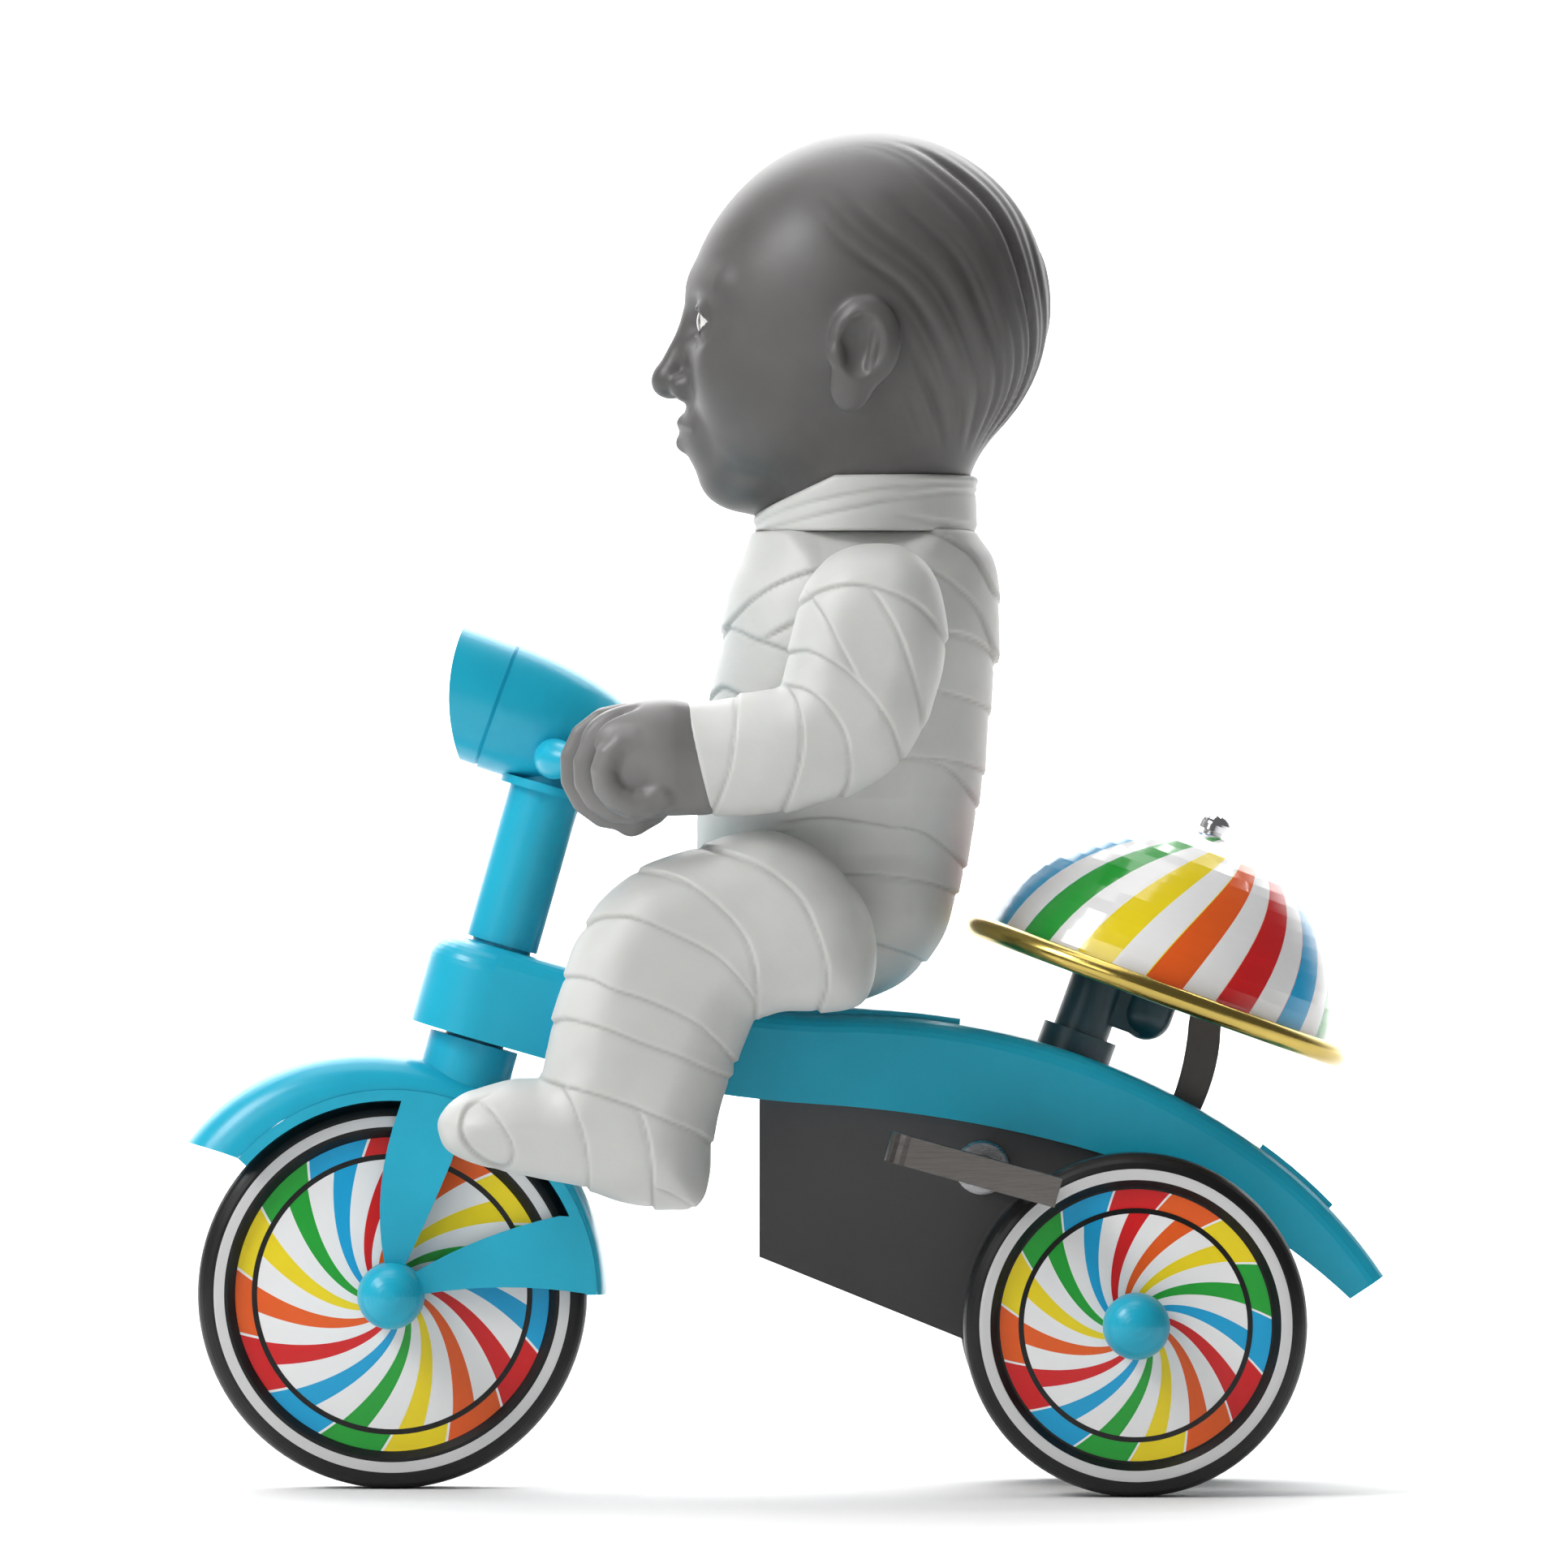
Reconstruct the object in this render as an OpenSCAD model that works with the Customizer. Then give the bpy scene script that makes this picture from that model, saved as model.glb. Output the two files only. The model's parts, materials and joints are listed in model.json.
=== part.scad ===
// Wind-up toy tricycle with a bandage-wrapped rider, a headlight and a striped bell.
// Millimetres. The toy faces -X, +Z is up, y = 0 is its middle plane,
// and the origin is on the ground under the middle of the toy.

/* [Overall] */
// Distance between the front and rear axles
wheelbase = 60; // [56:0.5:66]
// Height of the front axle, which is the front wheel's radius
front_wheel_r = 15.8; // [14.5:0.1:16.5]
// Height of the rear axle, which is the rear wheel's radius
rear_wheel_r = 13.8; // [12.5:0.1:14.5]
// Backward lean of the steering column, in degrees
rake = 16; // [14:0.5:18]

/* [Frame] */
// Width of the frame shell
frame_w = 12; // [11:0.1:13.5]
// Wall of the frame shell
shell_wall = 1.2; // [0.8:0.1:1.6]
// Rounding of the frame's top edges
shell_round = 1.4; // [0.6:0.1:2]
// Height of the frame's top under the rider
seat_z = 38.5; // [37:0.1:40]
// Height of the head block that holds the steering column
head_block_h = 7.6; // [6.5:0.1:9]
// Head block's reach in front of the column's axis
head_block_front = 5.4; // [4.8:0.1:6.5]
// Height of the raised pads on the frame's top
pad_h = 0.45; // [0.2:0.05:0.8]

/* [Steering] */
// Diameter of the steering column above the head block
column_d = 5.9; // [5:0.1:6.4]
// Diameter of the stem below the head block
stem_d = 7.4; // [6.8:0.1:8]
// Diameter of the handlebar tube
bar_d = 3.3; // [2.6:0.1:3.6]
// Diameter of the thin ends that the fists hold
bar_end_d = 2.0; // [1.6:0.1:2.4]
// How far the handlebar is swept back
bar_sweep = 7.0; // [6.5:0.1:8]
// Radius of the headlight at its seam
lamp_r = 5.3; // [4.6:0.1:6]
// Length of the headlight's bullet-shaped body behind its seam
lamp_l = 13; // [11:0.5:14]

/* [Wheels] */
// Width of the front tyre
front_tyre_w = 6.8; // [5.5:0.1:7]
// Width of each rear tyre
rear_tyre_w = 6.0; // [5:0.1:7]
// Distance between the middle planes of the rear wheels
track = 29; // [28:0.5:33]
// Diameter of the ball-shaped hub caps
hub_ball_d = 5.4; // [4.5:0.1:6]
// Diameter of the axles
axle_d = 1.9; // [1.6:0.1:2.2]

/* [Clockwork] */
// Module of the gear teeth
gear_module = 0.4; // [0.36:0.01:0.42]
// Teeth of the great wheel on the winding arbor
great_teeth = 40; // [38:1:42]
// Teeth of the idler's pinion
idler_pinion_teeth = 10; // [10:1:11]
// Teeth of the idler's gear
idler_gear_teeth = 28; // [26:1:29]
// Teeth of the rear axle's pinion
axle_pinion_teeth = 12; // [12:1:13]
// Length of the winding key's folded bow
key_l = 14.2; // [12:0.1:15]
// Width of the key's strip
key_strip_w = 2.4; // [2:0.1:3]

/* [Bell] */
// Radius of the bell's dome at its rim
bell_r = 14.6; // [13:0.1:16]
// Height of the bell's dome
bell_h = 13.5; // [12:0.1:14.5]
// Backward tilt of the bell's axis, in degrees
bell_tilt = 20; // [16:0.5:24]
// Thickness of the bell's brass rim bead
bell_bead_d = 1.8; // [1.4:0.1:2.2]

/* [Rider] */
// Half width of the rider's body at the chest
chest_half_w = 10; // [9:0.1:10.2]
// Distance from the middle plane to each arm's middle
arm_y = 14.6; // [14.5:0.1:16]
// Distance from the middle plane to each leg's middle
leg_y = 12.1; // [12:0.1:13]
// Radius of the wrapped neck
neck_r = 8.7; // [8:0.1:9]

/* [Fits] */
// Radial clearance of a shaft that turns in its hole
run_gap = 0.05; // [0.03:0.01:0.08]
// Gap between pieces of two bodies that pass each other
free_gap = 0.3; // [0.2:0.05:0.5]

/* [Hidden] */
$fn = 48;
smooth_n = 32;
eps = 0.01;
far = 200;

cyan = "deepskyblue";
steel = "silver";

// Axles and the steering frame
front_axle_at = [-31.8, front_wheel_r];
rear_axle_at = [front_axle_at[0] + wheelbase, rear_wheel_r];
trail = 0.7;
column_foot = [front_axle_at[0] + trail * cos(rake), front_axle_at[1] - trail * sin(rake)];
seat_rise = [4.85 - 64.7 * sin(rake), seat_z + 64.7 * (1 - cos(rake))];
head_top = (seat_rise[0] - column_foot[0]) * sin(rake) + (seat_rise[1] - column_foot[1]) * cos(rake);
rise_back = (seat_rise[0] - column_foot[0]) * cos(rake) - (seat_rise[1] - column_foot[1]) * sin(rake);
head_bottom = head_top - head_block_h;
bar_level = 45.4;

// Frame curves: a slope of t degrees runs towards (cos t, -sin t)
frame_half = frame_w / 2;
seat_at = [4.85, seat_z];
seat_r = 64.7;
arch_r = 58.1;
arch_end = 35.5;
tail_r = 39.4;
tail_end = 56.5;
shell_depth = 15;
belly_at = [2.7, seat_z - 7.2];
belly_slope = 3.5;
belly_r = 106;
haunch_slope = 15;
haunch_r = 52;
haunch_end = 44;
neck_under_r = 98;

// Wheel rings, as shares of the wheel's radius
rim_share = 0.805;
disc_t = 0.5;
disc_dish = 0.5;
tyre_round = 1.5;
fork_gap = 0.55;
blade_t = 0.65;
blade_in = front_tyre_w / 2 + fork_gap;
flange_t = 0.6;
fender_wall = 0.5;
flange_in_r = front_wheel_r - 0.05;
crease_r = front_wheel_r + 0.85;
crown_rear_r = front_wheel_r + 1.6;
crown_front_r = front_wheel_r + 4.9;
fender_rear_a = 0;
fender_front_a = 143.6;
flange_front_a = 137;
axle_r = axle_d / 2;

// Clockwork case
case_half = frame_half - shell_wall;
case_wall = 0.8;
blind_skin = 0.35;
key_at = rear_axle_at + [-12.16, 12.34];
case_front_x = key_at[0] - 18.04;
case_back_x = rear_axle_at[0] + 4.8;
case_low_z = 18.9;
case_floor_slope = 22;
case_top_z = 35.2;
great_r = gear_module * great_teeth / 2;
idler_pinion_r = gear_module * idler_pinion_teeth / 2;
idler_gear_r = gear_module * idler_gear_teeth / 2;
axle_pinion_r = gear_module * axle_pinion_teeth / 2;
reach_key = great_r + idler_pinion_r;
reach_axle = idler_gear_r + axle_pinion_r;
key_to_axle = rear_axle_at - key_at;
span_ka = norm(key_to_axle);
along_ka = (reach_key * reach_key - reach_axle * reach_axle + span_ka * span_ka) / (2 * span_ka);
off_ka = sqrt(reach_key * reach_key - along_ka * along_ka);
idler_at = key_at + (key_to_axle * along_ka - [-key_to_axle[1], key_to_axle[0]] * off_ka) / span_ka;
mesh_a = atan2(idler_at[1] - key_at[1], idler_at[0] - key_at[0]);
mesh_b = atan2(rear_axle_at[1] - idler_at[1], rear_axle_at[0] - idler_at[0]);
arbor_r = 1.0;
great_y = [-3.4, -2.6];
spring_y = [-2.1, 0.9];
idler_gear_y = [1.7, 2.5];
star_y = [-0.5, 0.5];
post_at = [key_at[0] - 7.6, key_at[1] + 1.5];
screw_at = [[case_front_x + 3, 21.8], [case_front_x + 3, 32.2], rear_axle_at + [-1.6, 9.8],
    rear_axle_at + [2.8, -5.3]];
screw_r = 0.6;

// Winding key
key_turn = 15.5;
key_front = 8.1;
key_strip_t = 0.5;
key_loop = 3.4;
key_y = -(track / 2 + rear_tyre_w / 2 + 0.9);

// Bell, in its own frame: x along the rim's plane towards the back, z along the axis
bell_at = [15.6 + bell_r, 40.45];
bell_wall = 0.6;
post_r = 0.8;
boss_r = 2.1;

// Striker
pivot_at = [31.6, 28.6];
lever_t = 0.8;
star_r = 3.0;

// Rider
hip_at = [0.6, 45.3];
hip_r = 7.1;
hip_face = frame_half + 0.8;
neck_x = 6.65;
neck_low = 77.6;
neck_high = 82.4;
peg_r = 2.2;
shoulder_at = [7.0, 71.5];
seat_face = seat_z + pad_h;
grip_level = bar_level + 0.6;
fist_at = column_point(bar_sweep, grip_level);
fist_bore_r = bar_end_d / 2 + 1.5;
fist_in = 9.9;

// ---------------------------------------------------------------- helpers

// Point of the side view for a distance behind and above the steering frame's foot
function column_point(back, up) = [
    column_foot[0] + back * cos(rake) + up * sin(rake),
    column_foot[1] - back * sin(rake) + up * cos(rake)];

// Points of an arc whose slope turns from t0 to t1; r is negative where it turns upward
function arc_points(p, t0, t1, r, n) = [for (i = [0 : n])
    let (t = t0 + (t1 - t0) * i / n)
    [p[0] + r * (sin(t) - sin(t0)), p[1] + r * (cos(t) - cos(t0))]];

function arc_end(p, t0, t1, r) =
    [p[0] + r * (sin(t1) - sin(t0)), p[1] + r * (cos(t1) - cos(t0))];

// Quadratic curve from a to c that is drawn towards b
function bend(a, b, c, n) = [for (i = [0 : n])
    let (t = i / n) a * (1 - t) * (1 - t) + b * 2 * t * (1 - t) + c * t * t];

function flip(list) = [for (i = [len(list) - 1 : -1 : 0]) list[i]];

// Side of a superellipse, which is squarer than a circle
function square_cos(a, p) = sign(cos(a)) * pow(abs(cos(a)), 2 / p);
function square_sin(a, p) = sign(sin(a)) * pow(abs(sin(a)), 2 / p);

// Plate in the side view's plane, from y0 to y1
module slab(y0, y1) {
    translate([0, y1, 0]) rotate([90, 0, 0]) linear_extrude(y1 - y0) children();
}

// Round bar along y at a place of the side view
module rod(at, r, y0, y1) {
    translate([at[0], y0, at[1]]) rotate([-90, 0, 0]) cylinder(r = r, h = y1 - y0);
}

module in_column() {
    translate([column_foot[0], 0, column_foot[1]]) rotate([0, rake, 0]) children();
}

module in_bell() {
    translate([bell_at[0], 0, bell_at[1]]) rotate([0, bell_tilt, 0]) children();
}

module both_sides() {
    children();
    mirror([0, 1, 0]) children();
}

// Closed skin through rings that all have the same number of points
module skin(rings) {
    n = len(rings[0]);
    count = len(rings);
    points = [for (ring = rings) each ring];
    sides = [for (k = [0 : count - 2], i = [0 : n - 1])
        let (a = k * n + i, b = k * n + (i + 1) % n)
        [a, b, b + n, a + n]];
    bottom = [for (i = [n - 1 : -1 : 0]) i];
    top = [for (i = [0 : n - 1]) (count - 1) * n + i];
    polyhedron(points = points, faces = concat([bottom], sides, [top]), convexity = 6);
}

// Limb through sections [x, z, angle, half thickness, half width, y]
function limb_ring(s, n) = [for (i = [0 : n - 1])
    let (a = 360 * i / n, u = s[3] * square_cos(a, 2.3))
    [s[0] + u * cos(s[2]), s[5] + s[4] * square_sin(a, 2.3), s[1] + u * sin(s[2])]];

// Ring in the side view's plane: half sizes a and b about a point, at a place along y
function side_ring(at, a, b, y, n, p = 2.6) = [for (i = [0 : n - 1])
    let (t = 360 * i / n)
    [at[0] + a * square_cos(t, p), y, at[1] + b * square_sin(t, p)]];

// Ring at a height, from x0 to x1 and half as wide as w on each side
function level_ring(z, x0, x1, w, n, p = 2.3) = [for (i = [0 : n - 1])
    let (t = 360 * i / n)
    [(x0 + x1) / 2 + (x1 - x0) / 2 * square_cos(t, p), w * square_sin(t, p), z]];

module limb(sections) {
    skin([for (s = sections) limb_ring(s, smooth_n)]);
}

// Outline of a gear with a tooth centred at the phase angle
function gear_points(teeth, phase) = [for (i = [0 : teeth - 1])
    let (p = 360 / teeth, c = phase + p * i, r = gear_module * teeth / 2)
    each [for (q = [[-0.3, -1.25], [-0.22, 0], [-0.1, 0.85], [0.1, 0.85], [0.22, 0], [0.3, -1.25]])
        (r + gear_module * q[1]) * [cos(c + p * q[0]), sin(c + p * q[0])]]];

module gear(at, teeth, phase, bore, ys) {
    difference() {
        translate([at[0], 0, at[1]]) slab(ys[0], ys[1]) polygon(gear_points(teeth, phase));
        rod(at, bore, ys[0] - 1, ys[1] + 1);
    }
}

// Screw along y with a round slotted head at its outer end
module screw_y(at, r, y0, y1, head_r, head_h) {
    rod(at, r, y0, y1);
    difference() {
        rod(at, head_r, y0 - head_h, y0);
        translate([at[0] - head_r, y0 - head_h - 1, at[1] - 0.15]) cube([2 * head_r, 1.3, 0.3]);
    }
}

// ---------------------------------------------------------------- frame

// Section of the frame: s is the side the top lies on, as seen from the curve's centre
module shell_section(r, s, w, top, depth, q) {
    edge = r + s * top;
    corner = [for (k = [0 : 5]) [edge - s * q * (1 - sin(18 * k)), w - q * (1 - cos(18 * k))]];
    polygon(concat(
        [[r - s * depth, -w]],
        [for (c = corner) [c[0], -c[1]]],
        flip(corner),
        [[r - s * depth, w]]));
}

module arch(p, t0, t1, r, w, top, depth, q) {
    c = p - r * [sin(t0), cos(t0)];
    start = r > 0 ? 90 - t1 : 270 - t0;
    translate([c[0], 0, c[1]]) rotate([90, 0, 0]) rotate([0, 0, start])
        rotate_extrude(angle = abs(t1 - t0), $fn = 240)
            shell_section(abs(r), sign(r), w, top, depth, q);
}

module rise(b0, w, top, depth, q) {
    in_column() translate([b0, 0, head_top]) rotate([0, 90, 0])
        linear_extrude(rise_back - b0 + eps) shell_section(0, -1, w, top, depth, q);
}

module frame_curve(b0, last, w, top, depth, q) {
    rise(b0, w, top, depth, q);
    arch(seat_rise, rake, 0, -seat_r, w, top, depth, q);
    arch(seat_at, 0, arch_end, arch_r, w, top, depth, q);
    arch(arc_end(seat_at, 0, arch_end, arch_r), arch_end, last, tail_r, w, top, depth, q);
}

belly_start = belly_at + neck_under_r * [sin(belly_slope) - sin(rake), cos(belly_slope) - cos(rake)];
belly_mid = arc_end(belly_at, belly_slope, haunch_slope, belly_r);
belly_last = arc_end(belly_mid, haunch_slope, haunch_end, haunch_r);

module under_belly() {
    slab(-far, far) polygon(concat(
        [[-60, -20], belly_start + 60 * [-cos(rake), sin(rake)]],
        arc_points(belly_start, rake, belly_slope, -neck_under_r, 10),
        arc_points(belly_at, belly_slope, haunch_slope, belly_r, 10),
        arc_points(belly_mid, haunch_slope, haunch_end, haunch_r, 14),
        [belly_last + 20 * [cos(haunch_end), -sin(haunch_end)], [80, -20]]));
}

// Raised pads on the frame's top
module pads() {
    w = frame_half - 1.7;
    rise(6.2, w, pad_h, 0.3, 0.3);
    arch(seat_rise, rake, 0, -seat_r, w, pad_h, 0.3, 0.3);
    arch(seat_at, 0, 9.3, arch_r, w, pad_h, 0.3, 0.3);
}

module head_block() {
    in_column() {
        translate([0, 0, head_bottom]) rotate_extrude($fn = 64) polygon(concat(
            [[0, 0], [head_block_front, 0]],
            [for (k = [0 : 8]) [head_block_front - 2.2 * (1 - cos(11.25 * k)),
                head_block_h - 2.2 * (1 - sin(11.25 * k))]],
            [[0, head_block_h]]));
        difference() {
            translate([0, 0, head_bottom]) rotate([90, 0, 90])
                linear_extrude(8.2) polygon(concat(
                    [[-head_block_front, 0], [head_block_front, 0]],
                    [for (k = [0 : 5]) [head_block_front - 1.4 * (1 - cos(18 * k)),
                        head_block_h - 1.4 * (1 - sin(18 * k))]],
                    [for (k = [5 : -1 : 0]) [-head_block_front + 1.4 * (1 - cos(18 * k)),
                        head_block_h - 1.4 * (1 - sin(18 * k))]]));
        }
    }
}

module frame_shell() {
    color(cyan) difference() {
        union() {
            difference() {
                frame_curve(5.8, tail_end, frame_half, 0, shell_depth, shell_round);
                frame_curve(8.2, tail_end - 1.6, frame_half - shell_wall, -shell_wall, shell_depth + 5, 0.2);
                under_belly();
            }
            head_block();
            pads();
            arch(arc_end(seat_at, 0, arch_end, arch_r), arch_end, 46.3, tail_r, frame_half - 1.7,
                0.4, 0.3, 0.3);
        }
        in_column() translate([0, 0, 10]) cylinder(r = column_d / 2 - 0.5 + run_gap, h = 30);
        rod(pivot_at, 0.5, -frame_half + 0.5, far);
        translate([30.0, -0.9, 25]) cube([5.2, 1.8, 20]);
        translate([3, 0, 30]) cylinder(r = 0.9, h = 12);
        in_bell() translate([-4.55, 0, -14]) cylinder(r = 0.8, h = 12);
    }
}

// ---------------------------------------------------------------- clockwork case

case_arch = [seat_at[0], seat_at[1] - arch_r];

// Height of the arch at a distance inside the frame's curve
function under_arch(x, r) = case_arch[1] + sqrt(r * r - (x - case_arch[0]) * (x - case_arch[0]));

module case_outline() {
    r = arch_r - shell_wall - 1.0;
    front_low = case_low_z;
    back_low = case_low_z - (case_back_x - case_front_x) * tan(case_floor_slope);
    t0 = acos((case_top_z - case_arch[1]) / r);
    t1 = asin((rear_axle_at[0] - 2.4 - case_arch[0]) / r);
    back_x = rear_axle_at[0] - 0.6;
    polygon(concat(
        [[case_front_x, front_low], [case_front_x, case_top_z]],
        [for (k = [0 : 8]) let (t = t0 + (t1 - t0) * k / 8) case_arch + r * [sin(t), cos(t)]],
        [[back_x, min(26.4, under_arch(back_x, r) - 1)],
            [case_back_x, min(24.4, under_arch(case_back_x, r) - 1)], [case_back_x, back_low + 1.2],
            [case_back_x - 1.2, back_low + 0.5]]));
}

// Space between the plates, open at the top
module case_room() {
    back_low = case_low_z - (case_back_x - case_front_x) * tan(case_floor_slope);
    w = case_wall;
    polygon([
        [case_front_x + w, case_low_z + w * 0.6],
        [case_front_x + w, 60],
        [case_back_x - w, 60],
        [case_back_x - w, back_low + 1.6]]);
}

// The near plate's holes stop short of its face
module case_side(key_hole, hole_end) {
    difference() {
        slab(0, case_half) case_outline();
        slab(-1, case_half - case_wall) case_room();
        rod(key_at, key_hole, -1, 20);
        rod(idler_at, 0.5 + run_gap, -1, hole_end);
        rod(rear_axle_at, axle_r + run_gap, -1, 20);
        for (at = screw_at) {
            rod(at, screw_r, -1, hole_end);
        }
    }
    for (at = screw_at) {
        difference() {
            rod(at, 1.3, 0, case_half - case_wall + eps);
            rod(at, screw_r, -1, 20);
        }
    }
}

module motor_case_left() {
    color("dimgray") mirror([0, 1, 0]) case_side(arbor_r + 0.6, case_half - blind_skin);
}

module motor_case_right() {
    color("dimgray") case_side(arbor_r + run_gap, 20);
    color("dimgray") difference() {
        rod(post_at, 0.9, spring_y[1] + 0.2, case_half - case_wall + eps);
        rod(post_at, 0.4, -1, 20);
    }
}

module case_screws() {
    color(steel) for (at = [screw_at[0], screw_at[3]]) {
        mirror([0, 1, 0]) screw_y(at, screw_r, -case_half, case_half - blind_skin, 1.15, 0.5);
    }
    color(steel) for (at = [screw_at[1], screw_at[2]]) {
        rod(at, screw_r, -case_half + blind_skin, case_half);
    }
}

module spring_post() {
    color(steel) rod(post_at, 0.4, spring_y[0], case_half - case_wall);
}

// Spiral strip from beside the arbor out to its post
module mainspring() {
    turns = 4.6;
    r0 = arbor_r + 0.5;
    r1 = norm(post_at - key_at) - 0.4;
    a1 = atan2(post_at[1] - key_at[1], post_at[0] - key_at[0]);
    n = 96;
    t = 0.16;
    line = [for (i = [0 : n]) let (f = i / n, a = a1 - 360 * turns * (1 - f), r = r0 + (r1 - r0) * f)
        [r, a]];
    color("slategray") translate([key_at[0], 0, key_at[1]]) slab(spring_y[0], spring_y[1])
        polygon(concat(
            [for (p = line) (p[0]) * [cos(p[1]), sin(p[1])]],
            [for (p = flip(line)) (p[0] - t) * [cos(p[1]), sin(p[1])]]));
}

module key_eyelet() {
    color(steel) translate([key_at[0], 0, key_at[1]]) rotate([90, 0, 0]) rotate_extrude() polygon([
        [arbor_r + run_gap, case_half - case_wall],
        [arbor_r + 0.6, case_half - case_wall],
        [arbor_r + 0.6, case_half],
        [2.2, case_half],
        [2.2, case_half + 0.3],
        [2.0, case_half + 0.5],
        [arbor_r + run_gap, case_half + 0.5]]);
}

// ---------------------------------------------------------------- winding train

module winding_arbor() {
    color(steel) rod(key_at, arbor_r, key_y - key_strip_t - 0.35, case_half);
}

module great_wheel() {
    color("goldenrod") gear(key_at, great_teeth, mesh_a, arbor_r, great_y);
}

module idler_arbor() {
    color(steel) rod(idler_at, 0.5, -case_half + blind_skin + run_gap, case_half);
}

module idler_gear() {
    color("goldenrod") gear(idler_at, idler_gear_teeth, mesh_b, 0.5, idler_gear_y);
}

module idler_pinion() {
    color("goldenrod")
        gear(idler_at, idler_pinion_teeth, mesh_a + 180 + 180 / idler_pinion_teeth, 0.5,
            [great_y[0] - 0.3, idler_gear_y[0]]);
}

module axle_pinion() {
    color("goldenrod")
        gear(rear_axle_at, axle_pinion_teeth, mesh_b + 180 + 180 / axle_pinion_teeth, axle_r,
            [idler_gear_y[0] - 0.3, idler_gear_y[1] + 0.3]);
}

// Five-pointed cam that works the striker
module star_cam() {
    color(steel) difference() {
        translate([rear_axle_at[0], 0, rear_axle_at[1]]) slab(star_y[0], star_y[1])
            polygon([for (i = [0 : 9]) let (a = 58 + 36 * i, r = i % 2 == 0 ? 1.9 : star_r)
                r * [cos(a), sin(a)]]);
        rod(rear_axle_at, axle_r, -1, 1);
    }
}

// Steel strip folded into a loop; x runs along the loop
module bow_outline(inset) {
    r = key_loop / 2 - inset;
    x0 = -key_front + key_loop / 2;
    x1 = key_l - key_front - inset;
    polygon(concat(
        [for (k = [0 : 12]) let (a = 270 - 15 * k) [x0 + r * cos(a), r * sin(a)]],
        [[x1 - 2.7 + inset, r], [x1, r - 1.1 + inset / 2], [x1, -r]]));
}

module key_bow() {
    color(steel) translate([key_at[0], key_y - key_loop / 2, key_at[1]])
        rotate([0, key_turn, 0]) difference() {
            translate([0, 0, -key_strip_w / 2]) linear_extrude(key_strip_w) difference() {
                bow_outline(0);
                bow_outline(key_strip_t);
            }
            translate([0, key_loop / 2 - key_strip_t - 0.6, 0]) rotate([-90, 0, 0])
                cylinder(r = arbor_r, h = 3);
        }
}

// ---------------------------------------------------------------- wheels

// Tyre with rounded shoulders
module tyre(at, r, w, y) {
    inner = r * rim_share;
    half = w / 2;
    q = tyre_round;
    shoulder = [for (k = [0 : 6]) [r - q * (1 - sin(15 * k)), half - q * (1 - cos(15 * k))]];
    translate([at[0], y, at[1]]) rotate([90, 0, 0]) rotate_extrude($fn = 120) polygon(concat(
        [[inner, -half + 0.7], [inner + 0.6, -half]],
        [for (c = shoulder) [c[0], -c[1]]],
        flip(shoulder),
        [[inner + 0.6, half], [inner, half - 0.7]]));
}

// Pair of dished discs inside a tyre, one at each face
module discs(at, r, w, y) {
    outer = r * rim_share;
    face = w / 2 - 0.75;
    for (s = [-1, 1]) {
        translate([at[0], y, at[1]]) rotate([-90 * s, 0, 0]) rotate_extrude($fn = 120) polygon([
            [axle_r, face + disc_dish - disc_t],
            [2.4, face + disc_dish - disc_t],
            [outer * 0.86, face - disc_t],
            [outer, face - disc_t],
            [outer, face],
            [outer * 0.86, face],
            [2.4, face + disc_dish],
            [axle_r, face + disc_dish]]);
    }
}

module hub(at, w, y) {
    h = w / 2 - 0.75 + disc_dish - disc_t;
    difference() {
        rod(at, 2.4, y - h, y + h);
        rod(at, axle_r, y - far, y + far);
    }
}

// Ball-shaped cap whose flat side starts at y0 and whose crown is at y1
module hub_cap(at, y0, y1) {
    r = hub_ball_d / 2;
    c = y1 - r - y0;
    low = min(c, r * 0.78);
    a0 = -asin(low / r);
    translate([at[0], y0, at[1]]) rotate([-90, 0, 0]) rotate_extrude() polygon(concat(
        [[0, 0], [r * cos(a0), 0]],
        [for (k = [c - low > 0.01 ? 0 : 1 : 15]) let (a = a0 + (90 - a0) * k / 16)
            [r * cos(a), c + r * sin(a)]],
        [[0, c + r]]));
}

front_face = blade_in + blade_t;
front_cap_out = front_face + free_gap + hub_ball_d * 0.93;
rear_cap_out = -key_y + key_loop;
rear_face = track / 2 + rear_tyre_w / 2 - 0.75 + disc_dish;

module front_axle() {
    color(steel) rod(front_axle_at, axle_r, -front_cap_out + 2.2, front_cap_out - 2.2);
}

module front_hub_caps() {
    color(cyan) both_sides() difference() {
        hub_cap(front_axle_at, front_face + free_gap, front_cap_out);
        rod(front_axle_at, axle_r, 0, front_cap_out - 2.2);
    }
}

module front_tyre() {
    color("black") tyre(front_axle_at, front_wheel_r, front_tyre_w, 0);
}

module front_discs() {
    color("white") discs(front_axle_at, front_wheel_r, front_tyre_w, 0);
}

module front_hub() {
    color("white") hub(front_axle_at, front_tyre_w, 0);
}

module rear_axle() {
    color(steel) rod(rear_axle_at, axle_r, -rear_cap_out + 2.2, rear_cap_out - 2.2);
}

module rear_hub_caps() {
    color(cyan) both_sides() difference() {
        hub_cap(rear_axle_at, rear_face, rear_cap_out);
        rod(rear_axle_at, axle_r, 0, rear_cap_out - 2.2);
    }
}

module rear_tyre_left() {
    color("black") tyre(rear_axle_at, rear_wheel_r, rear_tyre_w, -track / 2);
}

module rear_tyre_right() {
    color("black") tyre(rear_axle_at, rear_wheel_r, rear_tyre_w, track / 2);
}

module rear_discs_left() {
    color("white") discs(rear_axle_at, rear_wheel_r, rear_tyre_w, -track / 2);
}

module rear_discs_right() {
    color("white") discs(rear_axle_at, rear_wheel_r, rear_tyre_w, track / 2);
}

module rear_hub_left() {
    color("white") hub(rear_axle_at, rear_tyre_w, -track / 2);
}

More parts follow.
